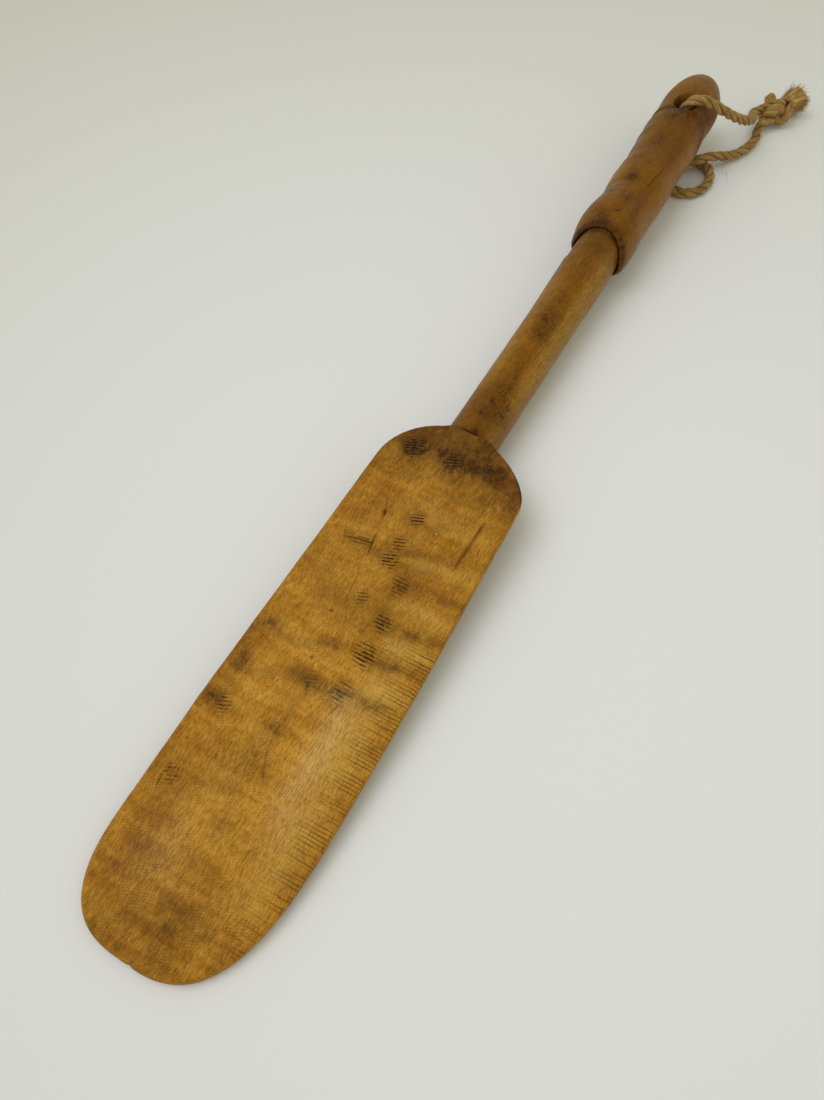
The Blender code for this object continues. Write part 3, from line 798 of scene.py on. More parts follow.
fuzz = Hairs(7)
for path, count in ((upper_path, 190), (lower_path, 230)):
    for _ in range(count):
        i = int(fuzz.rng.integers(12, len(path) - 12))
        q = path[i]
        if abs(q.x - HOLE_X) < 0.006 and abs(q.y - HOLE_Y) < 0.005 and LOW_Z - 0.001 < q.z < TOP_Z - 0.002:
            continue
        t = (path[i + 2] - path[i - 2]).normalized()
        out = t.cross(Vector(fuzz.rng.normal(size=3))).normalized()
        if q.z < 0.0045 and out.z < -0.2:
            out.z = -out.z
        # no hairs where the rope passes close over or under the wood
        if abs(q.y - HOLE_Y) < 0.025 and (out.z < 0.25 if path is upper_path else True):
            continue
        fuzz.add(q + out * 0.0026, out * 0.55 + t * float(fuzz.rng.choice([-1, 1])),
                 float(fuzz.rng.uniform(0.0016, 0.0052)), float(fuzz.rng.normal(0, 0.8)),
                 0.000045, 4)
for _ in range(150):
    a = float(fuzz.rng.uniform(0.001, KNOT_LEN - 0.002))
    ang = float(fuzz.rng.uniform(0, 2 * pi))
    out = KNOT_SIDE * cos(ang) + KNOT_UP * sin(ang)
    rad = 0.0078 * sqrt(max(0.15, 1 - ((a - 0.012) / 0.0135) ** 2))
    fuzz.add(KNOT_A + KNOT_AXIS * a + out * rad * 0.9, out + KNOT_AXIS * float(fuzz.rng.normal(0, 0.9)),
             float(fuzz.rng.uniform(0.0012, 0.0036)), float(fuzz.rng.normal(0, 1.0)), 0.000045, 4)
# the two long stray fibres below the lower fall
fuzz.add((0.2769, -0.0305, 0.0024), (-0.97, -0.20, -0.05), 0.0210, 0.6, 0.00012, 10)
fuzz.add((0.2714, -0.0347, 0.0018), (-0.97, -0.16, -0.04), 0.0150, -0.7, 0.00011, 8)
fuzz = fuzz.build("lanyard_fuzz")

brush = Hairs(19)
rng = brush.rng
for _ in range(1150):
    rad = sqrt(rng.random())
    ang = rng.uniform(0, 2 * pi)
    base = knot_point(KNOT_LEN - 0.0006, 0.0056 * rad * cos(ang), 0.0048 * rad * sin(ang))
    spread = 0.42 * rad
    d = (KNOT_AXIS + KNOT_SIDE * (spread * cos(ang) - 0.06 + rng.normal(0, 0.07))
         + KNOT_UP * (spread * 0.8 * sin(ang) + rng.normal(0, 0.07)))
    brush.add(base, d, rng.uniform(0.0110, 0.0146) * (1 - 0.10 * rad), rng.normal(0, 0.25),
              rng.uniform(0.00008, 0.00014), 4, 0.05, 0.6)
brush = brush.build("lanyard_brush")
# the solid heart of the brush, so that no light passes through it
heart_rows = []
for k in range(26):
    f = k / 25
    ctr = knot_point(KNOT_LEN - 0.0008 + 0.0116 * f, -0.0008 * f, 0.0)
    row = []
    for i in range(48):
        a = 2 * pi * i / 48
        w = (0.0056 + 0.0026 * f) * (1 + 0.07 * sin(5 * a + 1.2) + 0.05 * sin(11 * a))
        w *= 1 if f < 0.85 else sqrt(max(0.0, 1 - ((f - 0.85) / 0.19) ** 2))
        row.append(ctr + KNOT_SIDE * (w * cos(a)) + KNOT_UP * (w * 0.92 * sin(a)))
    heart_rows += row
heart = mesh_object("lanyard_brush_heart", heart_rows, ring_faces(26, 48))
outward(heart)
att = heart.data.attributes.new("fib", "FLOAT_VECTOR", "POINT")
att.data.foreach_set("vector", np.array(
    [(0.0104 * (i // 48) / 25, 0.0045 * 2 * pi * (i % 48) / 48, 0.72) for i in range(26 * 48)],
    np.float32).reshape(-1))


def jute_material(name, dark, mid, light, hair=False):
    m = Nodes(name)
    n = m.tree.nodes.new("ShaderNodeAttribute")
    n.attribute_type = "GEOMETRY"
    n.attribute_name = "fib"
    fib = n.outputs["Vector"]
    sep = m.tree.nodes.new("ShaderNodeSeparateXYZ")
    m.link(fib, sep.inputs[0])
    threads = m.noise(m.scaled(260, 5200, 3, source=fib), 3, 0.6, 0.25)
    clumps = m.noise(m.scaled(150, 1500, 2, source=fib), 2, 0.5, 0.4)
    wide = m.noise(m.scaled(120, 120, 120), 2, 0.5)
    f = m.math("MULTIPLY_ADD", threads, 0.48, 0.02)
    f = m.math("ADD", f, m.math("MULTIPLY", clumps, 0.26))
    f = m.math("ADD", f, m.math("MULTIPLY", wide, 0.24))
    col = m.ramp(m.fit(f, 0.30, 0.72), [(0.0, dark), (1.0, light), (0.5, mid)])
    if not hair:
        # painted shade in the valleys between the strands
        valley = m.fit(sep.outputs[2], 0.60, 0.88)
        col = m.mix(m.math("SUBTRACT", 1.0, valley, clamped=True), col,
                    tuple(c * 0.42 for c in dark))
        height = m.math("ADD", m.math("MULTIPLY", threads, 1.0), m.math("MULTIPLY", clumps, 0.7))
        m.link(m.bump(height, 0.00022, 0.9), m.bsdf.inputs["Normal"])
    m.link(col, m.bsdf.inputs["Base Color"])
    m.bsdf.inputs["Roughness"].default_value = 0.78
    m.bsdf.inputs["Specular IOR Level"].default_value = 0.22
    m.bsdf.inputs["Sheen Weight"].default_value = 0.12
    m.bsdf.inputs["Sheen Roughness"].default_value = 0.5
    m.bsdf.inputs["Sheen Tint"].default_value = (0.9, 0.8, 0.55, 1)
    return m.mat


JUTE = jute_material("jute_twine", (0.105, 0.050, 0.011), (0.345, 0.188, 0.048), (0.640, 0.415, 0.132))
STRAW = jute_material("jute_fray", (0.230, 0.122, 0.026), (0.440, 0.262, 0.072), (0.680, 0.450, 0.155), hair=True)
finish(upper_rope, JUTE, "jute", "lanyard", "lanyard_cord")
finish(lower_rope, JUTE, "jute", "lanyard", "lanyard_cord")
finish(knot, JUTE, "jute", "lanyard", "lanyard_knot")
finish(fuzz, STRAW, "jute", "lanyard")
finish(brush, STRAW, "jute", "lanyard", "lanyard_frayed_end")
finish(heart, STRAW, "jute", "lanyard", "lanyard_frayed_end")


# -------------------------------------------------------------- fine carving
def cylinder(name, x, y, radius, z0, z1, n=48):
    verts, faces = [], ring_faces(2, n)
    for z in (z0, z1):
        for i in range(n):
            a = 2 * pi * i / n
            verts.append((x + radius * cos(a), y + radius * sin(a), z))
    ob = mesh_object(name, verts, faces)
    outward(ob)
    return ob


def resharpen(ob, angle=38):
    ob.data.shade_smooth()
    ob.data.set_sharp_from_angle(angle=radians(angle))


PEG_X, PEG_R = (-0.0950, -0.0520), 0.0030


def peg_cutters():
    return [cylinder("peg_hole", px, shaft_axis_y(px), PEG_R + GAP, -0.01,
                     face_z(px) - 0.0032 + GAP) for px in PEG_X]


# blade: one closed ring per station, finer on the face than on the back
stations, d, step = [], 0.00004, 0.00006
while TIP_X + d < SHOULDER_X - 0.0007:
    stations.append(TIP_X + d)
    d += step
    step = min(0.00042, step * 1.10)
stations.append(SHOULDER_X - 0.0007)
S = np.array(stations)
LEFT = np.array([blade_side(x, 1) for x in stations])
RIGHT_Y = np.array([blade_side(x, -1) for x in stations])
# a small nick in the rim at the tip, and slightly wandering rims
wander = fractal(np.stack([S * 55, S * 0 + 1.5, S * 0], 1), 5, 2) * sstep((S - TIP_X - 0.004) / 0.02)
LEFT = LEFT - 0.00016 + 0.00014 * wander
wander = fractal(np.stack([S * 48, S * 0 + 7.5, S * 0], 1), 9, 2) * sstep((S - TIP_X - 0.004) / 0.02)
RIGHT_Y = RIGHT_Y + 0.00016 + 0.00014 * wander
ZT = np.array([face_z(x) for x in stations])
ZB = np.array([back_z(x) for x in stations])
D = S - TIP_X
BODY = sstep(D / 0.10) * sstep((SHOULDER_X - S) / 0.09)
CROWN, HOLLOW = 0.0007 + 0.0015 * BODY, 0.0012 + 0.0010 * BODY
thin = np.minimum(1, (ZT - ZB) / 0.0070)
CROWN, HOLLOW = CROWN * thin, HOLLOW * thin
NT, NB, NW = 240, 84, 5
ut = np.linspace(1, -1, NT)
vt = 0.72 * ut + 0.28 * np.sin(pi / 2 * ut)
ub = np.linspace(-1, 1, NB)
vb = 0.72 * ub + 0.28 * np.sin(pi / 2 * ub)


def across(v):
    return np.where(v[None, :] > 0, LEFT[:, None] * v[None, :], -RIGHT_Y[:, None] * v[None, :])


outline = np.concatenate([np.stack([S, LEFT], 1), np.stack([S, RIGHT_Y], 1),
                          np.stack([np.full(40, S[0]), np.linspace(RIGHT_Y[0], LEFT[0], 40)], 1)])
from mathutils import kdtree
dense_line = []
for a, b in ((LEFT, S), (RIGHT_Y, S)):
    for k in range(len(S) - 1):
        seg = sqrt((S[k + 1] - S[k]) ** 2 + (a[k + 1] - a[k]) ** 2)
        m = max(1, int(seg / 0.00012))
        for j in range(m):
            f = j / m
            dense_line.append((S[k] + (S[k + 1] - S[k]) * f, a[k] + (a[k + 1] - a[k]) * f))
m = 120
dense_line += [(S[0], RIGHT_Y[0] + (LEFT[0] - RIGHT_Y[0]) * j / m) for j in range(m)]
tree = kdtree.KDTree(len(dense_line))
for k, (x, y) in enumerate(dense_line):
    tree.insert((x, y, 0), k)
tree.balance()


def rim_gap(X, Y):
    """Distance in from the outline, measured only near it."""
    out = np.full(X.shape, 0.01)
    near = (np.minimum(LEFT[:, None] - Y, Y - RIGHT_Y[:, None]) < 0.0034) | (X < TIP_X + 0.0040)
    near |= X > SHOULDER_X - 0.030
    idx = np.argwhere(near)
    for i, j in idx:
        out[i, j] = tree.find((X[i, j], Y[i, j], 0))[2]
    return out


def rounding(e, R):
    q = np.clip((R - e) / R, 0, 1)
    return R * (1 - np.sqrt(1 - q * q))


Yt, Yb = across(vt), across(vb)
Xt = np.repeat(S[:, None], NT, 1)
Xb = np.repeat(S[:, None], NB, 1)
Et, Eb = rim_gap(Xt, Yt), rim_gap(Xb, Yb)
seam = 1 - sstep((np.abs(Yt) - 0.0115) / 0.004) * 1.0
seam = seam * (Xt > SHOULDER_X - 0.012)
Rt = 0.0019 * (1 - seam) + 0.0005 * seam
wt = np.clip(np.abs(Yt) / 0.042, 0, 1)
Zt = ZT[:, None] - CROWN[:, None] * wt * wt - rounding(Et, Rt)
# shallow strokes of the plane along the face
P = np.stack([Xt.ravel() * 22, Yt.ravel() * 95, Xt.ravel() * 0 + 4], 1)
flat = (1 - rounding(np.minimum(Et, 0.006), 0.006) / 0.006)
relief = value_noise(P, 31) * 0.00013 + value_noise(P * 2.3 + 5, 33) * 0.00006
P = np.stack([Xt.ravel() * 210, Yt.ravel() * 60, Xt.ravel() * 0 + 9], 1)
relief += value_noise(P, 37) * 0.00003
relief = relief.reshape(Xt.shape) * flat - 0.00020 * flat
Zt = Zt + relief
# the hatching left by the file along the right edge
hatch_x = np.sin(Xt * 2 * pi / 0.0023 + 1.5 * value_noise(P * 0.11, 41).reshape(Xt.shape))
hatch_in = np.clip(1 - (Yt - RIGHT_Y[:, None]) / 0.013, 0, 1) * (Yt < 0)
hatch_in = hatch_in * sstep((-0.128 - Xt) / 0.014) * sstep((Xt + 0.286) / 0.012)
Zt = Zt - 0.00006 * np.clip(hatch_x, 0, 1) * hatch_in
wb = np.clip((np.abs(Yb) - 0.0156) / (0.042 - 0.0156), 0, 1) ** 1.1
toe = np.where(ZB < 0.0001, 0.0005 * (1 - sstep((D - 0.002) / 0.006)), 0)
Rb = np.where(np.abs(Yb) > 0.013, 0.0016, 0.0005)
Zb = ZB[:, None] + HOLLOW[:, None] * wb + toe[:, None] + rounding(Eb, Rb)
back_wave = value_noise(np.stack([Xb.ravel() * 20, Yb.ravel() * 80, Xb.ravel() * 0], 1), 51).reshape(Xb.shape)
Zb = Zb + (0.00010 + 0.00010 * back_wave) * sstep((np.abs(Yb) - 0.0165) / 0.006) * (1 - rounding(np.minimum(Eb, 0.004), 0.004) / 0.004)
Zb = np.maximum(Zb, 0.00002)
rows = []
for k in range(len(S)):
    ring = np.stack([Xt[k], Yt[k], Zt[k]], 1)
    yr, za, zb_ = Yt[k, -1], Zt[k, -1], Zb[k, 0]
    f = (np.arange(NW) + 1) / (NW + 1)
    bow = 0.00012 * np.sin(pi * f)
    wall_r = np.stack([np.full(NW, S[k]), yr - bow * 0, za + (zb_ - za) * f], 1)
    bottom = np.stack([Xb[k], Yb[k], Zb[k]], 1)
    yl, zc, zd = Yt[k, 0], Zb[k, -1], Zt[k, 0]
    wall_l = np.stack([np.full(NW, S[k]), np.full(NW, yl), zc + (zd - zc) * f], 1)
    rows.append(np.concatenate([ring, wall_r, bottom, wall_l]))
ring_n = len(rows[0])
blade = mesh_object("blade_carved", np.concatenate(rows), ring_faces(len(rows), ring_n))
outward(blade)


def fast_subtract(ob, *cutters):
    for c in cutters:
        mod = ob.modifiers.new("cut", "BOOLEAN")
        mod.operation = "DIFFERENCE"
        mod.solver = "MANIFOLD"
        mod.object = c
    dg = bpy.context.evaluated_depsgraph_get()
    dg.update()
    me = bpy.data.meshes.new_from_object(ob.evaluated_get(dg))
    ob.modifiers.clear()
    old = ob.data
    ob.data = me
    bpy.data.meshes.remove(old)
    me.name = ob.name
    for c in cutters:
        bpy.data.objects.remove(c, do_unlink=True)
    return ob


fast_subtract(blade, *peg_cutters())
resharpen(blade, 42)
co = coords(blade)
# tip nick
pull = blob(co[:, 0], co[:, 1], TIP_X, 0.0003, 0.0011, 0.0013)
co[:, 0] += 0.00045 * pull
set_coords(blade, co)

x, y, z = co[:, 0], co[:, 1], co[:, 2]
no = normals(blade)
face = sstep((no[:, 2] - 0.15) / 0.3)
n1 = fractal(np.stack([x * 60, y * 90, z * 0], 1), 61, 3)
n2 = fractal(np.stack([x * 220, y * 260, z * 0 + 3], 1), 63, 3)
left_e = np.interp(x, S, LEFT) - y
right_e = y - np.interp(x, S, RIGHT_Y)
edge = np.minimum(left_e, right_e)
soft = 0.10 * np.exp(-np.maximum(edge, 0) / 0.0022)
# the darker root under the shoulders and its cross band
soft += 0.80 * sstep((x + 0.070) / 0.034) * (0.75 + 0.35 * n1)
soft += 0.42 * line(x, y, [(-0.0628, 0.0305), (-0.0560, 0.010), (-0.0545, -0.012), (-0.0573, -0.0309)], 0.011) * (0.7 + 0.5 * n1)
soft += 0.24 * np.exp(-np.maximum(left_e, 0) / 0.0065) * (0.8 + 0.8 * n1)
soft += 0.07 * np.clip(n1 * 1.5, 0, 1)
soft += 0.12 * np.exp(-((x + 0.0865) / 0.016) ** 2)
soft += 0.14 * sstep((x + 0.058) / 0.016) * (0.8 + 0.6 * n1)
soft += 0.16 * line(x, y, [(-0.0440, -0.0230), (-0.0520, -0.0330), (-0.0600, -0.0385)], 0.0050) * (0.8 + 0.6 * n2)
for cx, cy in ((-0.0489, 0.022), (-0.0426, -0.0199)):
    soft += 1.05 * blob(x, y, cx, cy, 0.0036, 0.0048, 0.4, 0.8) * (0.75 + 0.6 * n2)
# brown bands of the curl running out to the sides
for pts, w, amt in ((((-0.1000, -0.0060), (-0.0950, -0.0250), (-0.0903, -0.0449)), 0.0026, 0.30),
                    (((-0.1173, -0.0107), (-0.1140, -0.0248), (-0.1098, -0.0445)), 0.0034, 0.46),
                    (((-0.1365, -0.0131), (-0.1355, -0.0221), (-0.1325, -0.0421)), 0.0036, 0.27),
                    (((-0.1535, -0.0136), (-0.1525, -0.0227), (-0.1491, -0.0423)), 0.0032, 0.30),
                    (((-0.1670, 0.0290), (-0.1632, 0.0210), (-0.1557, -0.0026)), 0.0032, 0.36),
                    (((-0.0640, -0.0100), (-0.0630, -0.0216), (-0.0538, -0.0390)), 0.0046, 0.46),
                    (((-0.0750, -0.0150), (-0.0701, -0.0369)), 0.0028, 0.22),
                    (((-0.1850, 0.0330), (-0.1832, 0.0217), (-0.1720, 0.0079)), 0.0030, 0.30),
                    (((-0.1365, 0.0190), (-0.1362, 0.0054)), 0.0026, 0.20),
                    (((-0.1760, 0.0080), (-0.1750, -0.0060), (-0.1730, -0.0149), (-0.1700, -0.0330)), 0.0030, 0.42),
                    (((-0.1046, 0.0310), (-0.1090, 0.0180), (-0.1080, 0.0060)), 0.0030, 0.24),
                    (((-0.1269, 0.0380), (-0.1240, 0.0240)), 0.0034, 0.26),
                    (((-0.2280, 0.0350), (-0.2250, 0.0180), (-0.2280, 0.0060)), 0.0040, 0.16),
                    (((-0.2680, 0.0260), (-0.2640, 0.0100), (-0.2600, -0.0080)), 0.0040, 0.20)):
    soft += amt * ribbon(x + 0.0014 * n1, y, pts, w) * (0.85 + 0.6 * n1)
for cx, cy, rx, ry, amt in ((-0.1752, 0.0030, 0.0046, 0.0100, 0.34), (-0.1614, 0.0315, 0.0036, 0.0062, 0.60),
                            (-0.1823, 0.0354, 0.0046, 0.0056, 0.75), (-0.2018, 0.0358, 0.0046, 0.0050, 0.90),
                            (-0.2425, -0.0025, 0.0060, 0.0090, 0.26), (-0.1550, 0.0010, 0.0040, 0.0070, 0.30), (-0.2826, -0.0043, 0.0090, 0.0110, 0.42),
                            (-0.0423, -0.0104, 0.0036, 0.0050, 0.60), (-0.0474, -0.0360, 0.0042, 0.0046, 0.60),
                            (-0.0447, 0.0061, 0.0070, 0.0090, 0.30), (-0.2940, 0.0130, 0.0060, 0.0090, 0.30)):
    soft += amt * blob(x, y, cx, cy, rx, ry, 0.35, 0.85) * (0.8 + 0.6 * n2)
soft += 0.24 * ribbon(x, y + 0.0012 * n2, [(-0.1780, 0.0010), (-0.1930, 0.0008), (-0.2121, -0.0019), (-0.2230, -0.0050)], 0.0024) * (0.8 + 0.8 * n2)
mark = np.zeros(len(x))
# stacks of short chatter dashes left by the plane
rng = np.random.default_rng(5)
CLUSTERS = [(-0.0835, -0.0006, 0.9, 1.05), (-0.0992, 0.0006, 0.9, 0.80), (-0.1084, 0.0001, 1.0, 1.30),
            (-0.1173, -0.0107, 1.1, 0.85), (-0.1309, 0.0015, 0.85, 0.75), (-0.1365, -0.0131, 1.1, 1.05),
            (-0.1535, -0.0136, 1.35, 1.20), (-0.1730, -0.0149, 1.25, 0.90), (-0.1750, 0.0012, 1.0, 0.35),
            (-0.2022, 0.0287, 1.0, 0.8), (-0.2375, 0.0310, 1.0, 0.7), (-0.0467, -0.0002, 1.0, 1.2),
            (-0.0489, 0.0220, 1.25, 1.6), (-0.0440, -0.0180, 0.8, 0.7)]
chatter = np.zeros(len(x))
for cx, cy, wide, amt in CLUSTERS:
    chatter = np.maximum(chatter, amt * blob(x, y, cx, cy, 0.0046 * wide, 0.0038 * wide, 0.30, 2.4) * (1.0 + 0.5 * n2))
    soft += 0.40 * min(amt, 0.9) * blob(x, y, cx, cy, 0.0045, 0.0056, 0.3, 0.9)
    soft += 0.26 * amt * blob(x, y, cx + 0.001, cy - 0.013, 0.0030, 0.0110, 0.38, 0.9) * (0.8 + n1)
    soft += 0.10 * amt * blob(x, y, cx + 0.001, cy + 0.010, 0.0028, 0.0080, 0.38, 0.9)
for cx, cy, r, amt in ((-0.1612, 0.0323, 0.0021, 0.7), (-0.1809, 0.0336, 0.0020, 0.6), (-0.2011, 0.0350, 0.0019, 1.0),
                       (-0.2444, 0.0005, 0.0034, 0.26), (-0.2789, -0.0025, 0.0032, 0.34), (-0.2860, -0.0054, 0.0032, 0.26),
                       (-0.2816, -0.0198, 0.0028, 0.5), (-0.3009, 0.0069, 0.0024, 0.5), (-0.3040, 0.0003, 0.0016, 0.8),
                       (-0.1761, -0.0059, 0.0030, 0.3), (-0.1231, -0.0142, 0.0026, 0.3), (-0.1235, -0.0037, 0.0026, 0.4),
                       (-0.1326, -0.0355, 0.0020, 0.6), (-0.1449, 0.0046, 0.0024, 0.4)):
    soft += amt * blob(x, y, cx, cy, r, r * 1.25, 0.5, 0.8) * (0.7 + 0.7 * n2)
for cx, cy in ((-0.1428, 0.0108), (-0.1657, 0.0062)):
    mark = np.maximum(mark, 0.8 * blob(x, y, cx, cy, 0.0007, 0.0007))
# the speckled dark field and the three short checks
field = blob(x, y, -0.2110, 0.0035, 0.0200, 0.0052, 0.0, 1.2)
soft += field * (0.14 + 0.42 * np.clip(n2 * 1.8, 0, 1))
for pts, w, amt in (([(-0.0810, 0.0180), (-0.0882, 0.0150), (-0.0990, 0.0132), (-0.1115, 0.0108)], 0.00045, 0.60),
                    ([(-0.0862, 0.0157), (-0.0900, 0.0147)], 0.0011, 1.0),
                    ([(-0.0995, 0.0131), (-0.1112, 0.0108)], 0.0007, 1.0),
                    ([(-0.1078, 0.0262), (-0.1060, 0.0194), (-0.1049, 0.0126)], 0.00065, 0.95),
                    ([(-0.1084, 0.0215), (-0.1066, 0.0140)], 0.0005, 0.8), ([(-0.1050, 0.0200), (-0.1038, 0.0138)], 0.0005, 0.7),
                    ([(-0.1200, 0.0096), (-0.1306, 0.0084), (-0.1383, 0.0070)], 0.00045, 0.45),
                    ([(-0.0720, -0.0290), (-0.0831, -0.0287), (-0.0955, -0.0281)], 0.00062, 0.75),
                    ([(-0.1920, 0.0009), (-0.2025, 0.0016), (-0.2103, -0.0001), (-0.2206, -0.0047)], 0.0005, 0.55),
                    ([(-0.2520, -0.0175), (-0.2600, -0.0200)], 0.0005, 0.55),
                    ([(-0.2400, 0.0340), (-0.2450, 0.0334)], 0.0006, 0.9),
                    ([(-0.0278, 0.0040), (-0.0280, -0.0080)], 0.0006, 0.6)):
    mark = np.maximum(mark, amt * line(x, y, pts, w) * (0.75 + 0.5 * n2))
hatch = np.clip(1.30 - right_e / 0.0140, 0, 1) * sstep((-0.122 - x) / 0.020) * sstep((x + 0.292) / 0.012)
hatch *= np.clip(0.80 + 0.8 * n1, 0, 1.0) * (1 - 0.38 * sstep((-0.225 - x) / 0.03))
hatch = np.maximum(hatch, 0.40 * blob(x, y, -0.150, -0.018, 0.012, 0.010))
crumbs = 0.38 * field + 0.9 * blob(x, y, -0.0489, 0.022, 0.0065, 0.0075) + 0.6 * blob(x, y, -0.0426, -0.0199, 0.005, 0.006)
crumbs += 0.55 * blob(x, y, -0.2011, 0.0350, 0.007, 0.004) + 0.45 * blob(x, y, -0.0400, 0.004, 0.010, 0.012)
crumbs += 0.45 * blob(x, y, -0.1809, 0.0336, 0.008, 0.005)
crumbs += 0.35 * sstep((-0.268 - x) / 0.02) * np.clip(n1 * 2.2, 0, 1) + 0.14 * np.clip(n1 * 2 - 0.3, 0, 1)
# painted highlight: a pale sheen streak along the right third of the blade, and three tiny pale specks
sheen = 0.27 * ribbon(x, y, [(-0.1760, -0.0170), (-0.1900, -0.0190), (-0.2250, -0.0180)], 0.0062) * (0.85 + 0.5 * n1)
for cx, cy in ((-0.0858, -0.0122), (-0.0920, -0.0150), (-0.0900, -0.0135)):
    sheen += 0.8 * blob(x, y, cx, cy, 0.0006, 0.0005)
sheen += 0.10 * ribbon(x, y, [(-0.1850, -0.0200), (-0.2400, -0.0230)], 0.0080)
# painted shade: dark lines just inside the right and left rims near the shoulders, where the edge turns down
mark = np.maximum(mark, 0.85 * np.exp(-((right_e - 0.0007) / 0.0005) ** 2) * sstep((x + 0.056) / 0.008))
mark = np.maximum(mark, 0.55 * np.exp(-((left_e - 0.0004) / 0.0004) ** 2) * sstep((x + 0.060) / 0.008))
# painted highlight: a broad pale sheen near the tip
sheen += 0.16 * blob(x, y, -0.2650, 0.0150, 0.016, 0.012)
soft += 0.30 * sstep((-0.258 - x) / 0.030) * (0.8 + 0.8 * n1)
rust = 0.60 * line(x, y, [(-0.0700, -0.0292), (-0.0985, -0.0280)], 0.0022) + 0.46 * sstep((x + 0.058) / 0.02)
rust += 0.42 * line(x, y, [(-0.0440, -0.0230), (-0.0520, -0.0330), (-0.0600, -0.0385)], 0.0060)
# painted highlight: a gold sheen over the right third of the blade, with lighter gold bands of the figure
gold_figure_and_sheen = 0.62 * blob(x, y, -0.2100, -0.0270, 0.0620, 0.0115, 0.0, 1.3) * (0.8 + 0.6 * n1)
gold_figure_and_sheen += 0.30 * ribbon(x, y, [(-0.1770, -0.0300), (-0.2003, -0.0315), (-0.2343, -0.0330), (-0.2600, -0.0290)], 0.0070) * (0.8 + 0.5 * n2)
gold_figure_and_sheen += 0.20 * blob(x, y, -0.2350, 0.0100, 0.0340, 0.0140, 0.0, 1.2)
gold_figure_and_sheen += 0.26 * blob(x, y, -0.1150, 0.0080, 0.0500, 0.0160, 0.0, 1.2) * (0.7 + 0.8 * n1)
for pts, w, amt in ((((-0.0790, 0.0000), (-0.0780, -0.0098), (-0.0778, -0.0300)), 0.0060, 0.42),
                    (((-0.1040, -0.0120), (-0.1016, -0.0204), (-0.0986, -0.0383)), 0.0042, 0.50),
                    (((-0.1250, -0.0150), (-0.1243, -0.0224), (-0.1222, -0.0405)), 0.0036, 0.50),
                    (((-0.1430, -0.0200), (-0.1409, -0.0390)), 0.0034, 0.46),
                    (((-0.1645, -0.0240), (-0.1620, -0.0390)), 0.0046, 0.50)):
    gold_figure_and_sheen += 1.25 * amt * ribbon(x + 0.0014 * n1, y, pts, w) * (0.85 + 0.5 * n1)
gold_figure_and_sheen += 0.28 * line(x, y, [(-0.1752, -0.0189), (-0.1954, -0.0200), (-0.2191, -0.0188)], 0.0030)
gold_figure_and_sheen += 0.16 * blob(x, y, -0.1500, -0.0280, 0.0360, 0.0100, 0.0, 1.2)
# painted highlights: a bright line along the right rim and a gold line round the tip's left rim
gold_figure_and_sheen += 0.55 * np.exp(-((right_e - 0.0001) / 0.0005) ** 2) * sstep((-0.120 - x) / 0.02)
gold_figure_and_sheen += 0.40 * np.exp(-((edge - 0.0008) / 0.0009) ** 2) * sstep((-0.262 - x) / 0.02) * (y > 0)
# the side walls and the back get a little even painted shade in place of the face's marks
paint(blade, "paint", soft * face * 0.9 + (1 - face) * 0.12, mark * face, gold_figure_and_sheen * face, rust * face)
paint(blade, "more", hatch * face, crumbs * face, sheen * face, chatter * face)

# shaft with its lap and its long spine under the blade
def shaft_geometry(x):
    if x >= SPINE_START_X:
        r = SHAFT_R + 0.0006 * smooth((x - 0.06) / 0.05)
        zc = shaft_axis_z(x)
    else:
        r = spine_radius(x)
        t = smooth((SPINE_START_X - x) / 0.080)
        zc = max(shaft_axis_z(x) * (1 - t) + (back_z(x) - 0.0002) * t, r + 0.0006)
    if x > 0.1130:
        r = min(r, SHAFT_R)
    return r, zc, shaft_axis_y(x)


NA = 180
sx = np.arange(SPINE_END_X, SHAFT_END_X, 0.00055)
sx = np.append(sx, SHAFT_END_X)
rows = []
ang = np.linspace(0, 2 * pi, NA, endpoint=False)
for xs in sx:
    r, zc, yc = shaft_geometry(xs)
    free = smooth((xs + 0.024) / 0.012) * (1 - smooth((xs - 0.106) / 0.006))
    q = np.stack([np.full(NA, xs * 16), np.sin(ang) * 1.9, np.cos(ang) * 1.9], 1)
    rr = r + free * (value_noise(q, 71) * 0.00016 - 0.00014)
    q[:, 0] = xs * 70
    rr += free * value_noise(q * np.array([1, 2.2, 2.2]), 73) * 0.00005
    rows.append(np.stack([np.full(NA, xs), yc + rr * np.sin(ang), np.maximum(zc + rr * np.cos(ang), 0.0)], 1))
shaft = mesh_object("shaft_carved", np.concatenate(rows), ring_faces(len(rows), NA))
outward(shaft)
lap_rows, lx = [], []
xx = -0.160
while xx < SHOULDER_X - 0.0003:
    lx.append(xx)
    xx += 0.0008 if xx < SHOULDER_X - 0.006 else 0.00020
lx.append(SHOULDER_X - 0.0003)
for xs in lx:
    l, r_, zb = blade_side(xs, 1, GAP), blade_side(xs, -1, GAP), back_z(xs) - GAP
    lap_rows += [(xs, l, 0.045), (xs, r_, 0.045), (xs, r_, zb), (xs, l, zb)]
lap = mesh_object("lap_cutter", lap_rows, ring_faces(len(lx), 4))
outward(lap)
PIN_TOP = grip_axis_z(PIN_X) + grip_radius(PIN_X) - 0.0002
PIN_FOOT = shaft_axis_z(PIN_X) - 0.0060
fast_subtract(shaft, lap, cylinder("pin_hole", PIN_X, AXIS_Y, 0.0020 + GAP, PIN_FOOT - GAP, PIN_TOP + 0.006),
              *peg_cutters())
resharpen(shaft, 40)
co = coords(shaft)
x, y, z = co[:, 0], co[:, 1], co[:, 2]
n1 = fractal(np.stack([x * 70, y * 110, z * 110], 1), 81, 3)
n2 = fractal(np.stack([x * 240, y * 300, z * 300], 1), 83, 3)
top = sstep((z - np.array([shaft_axis_z(v) for v in x])) / 0.004)
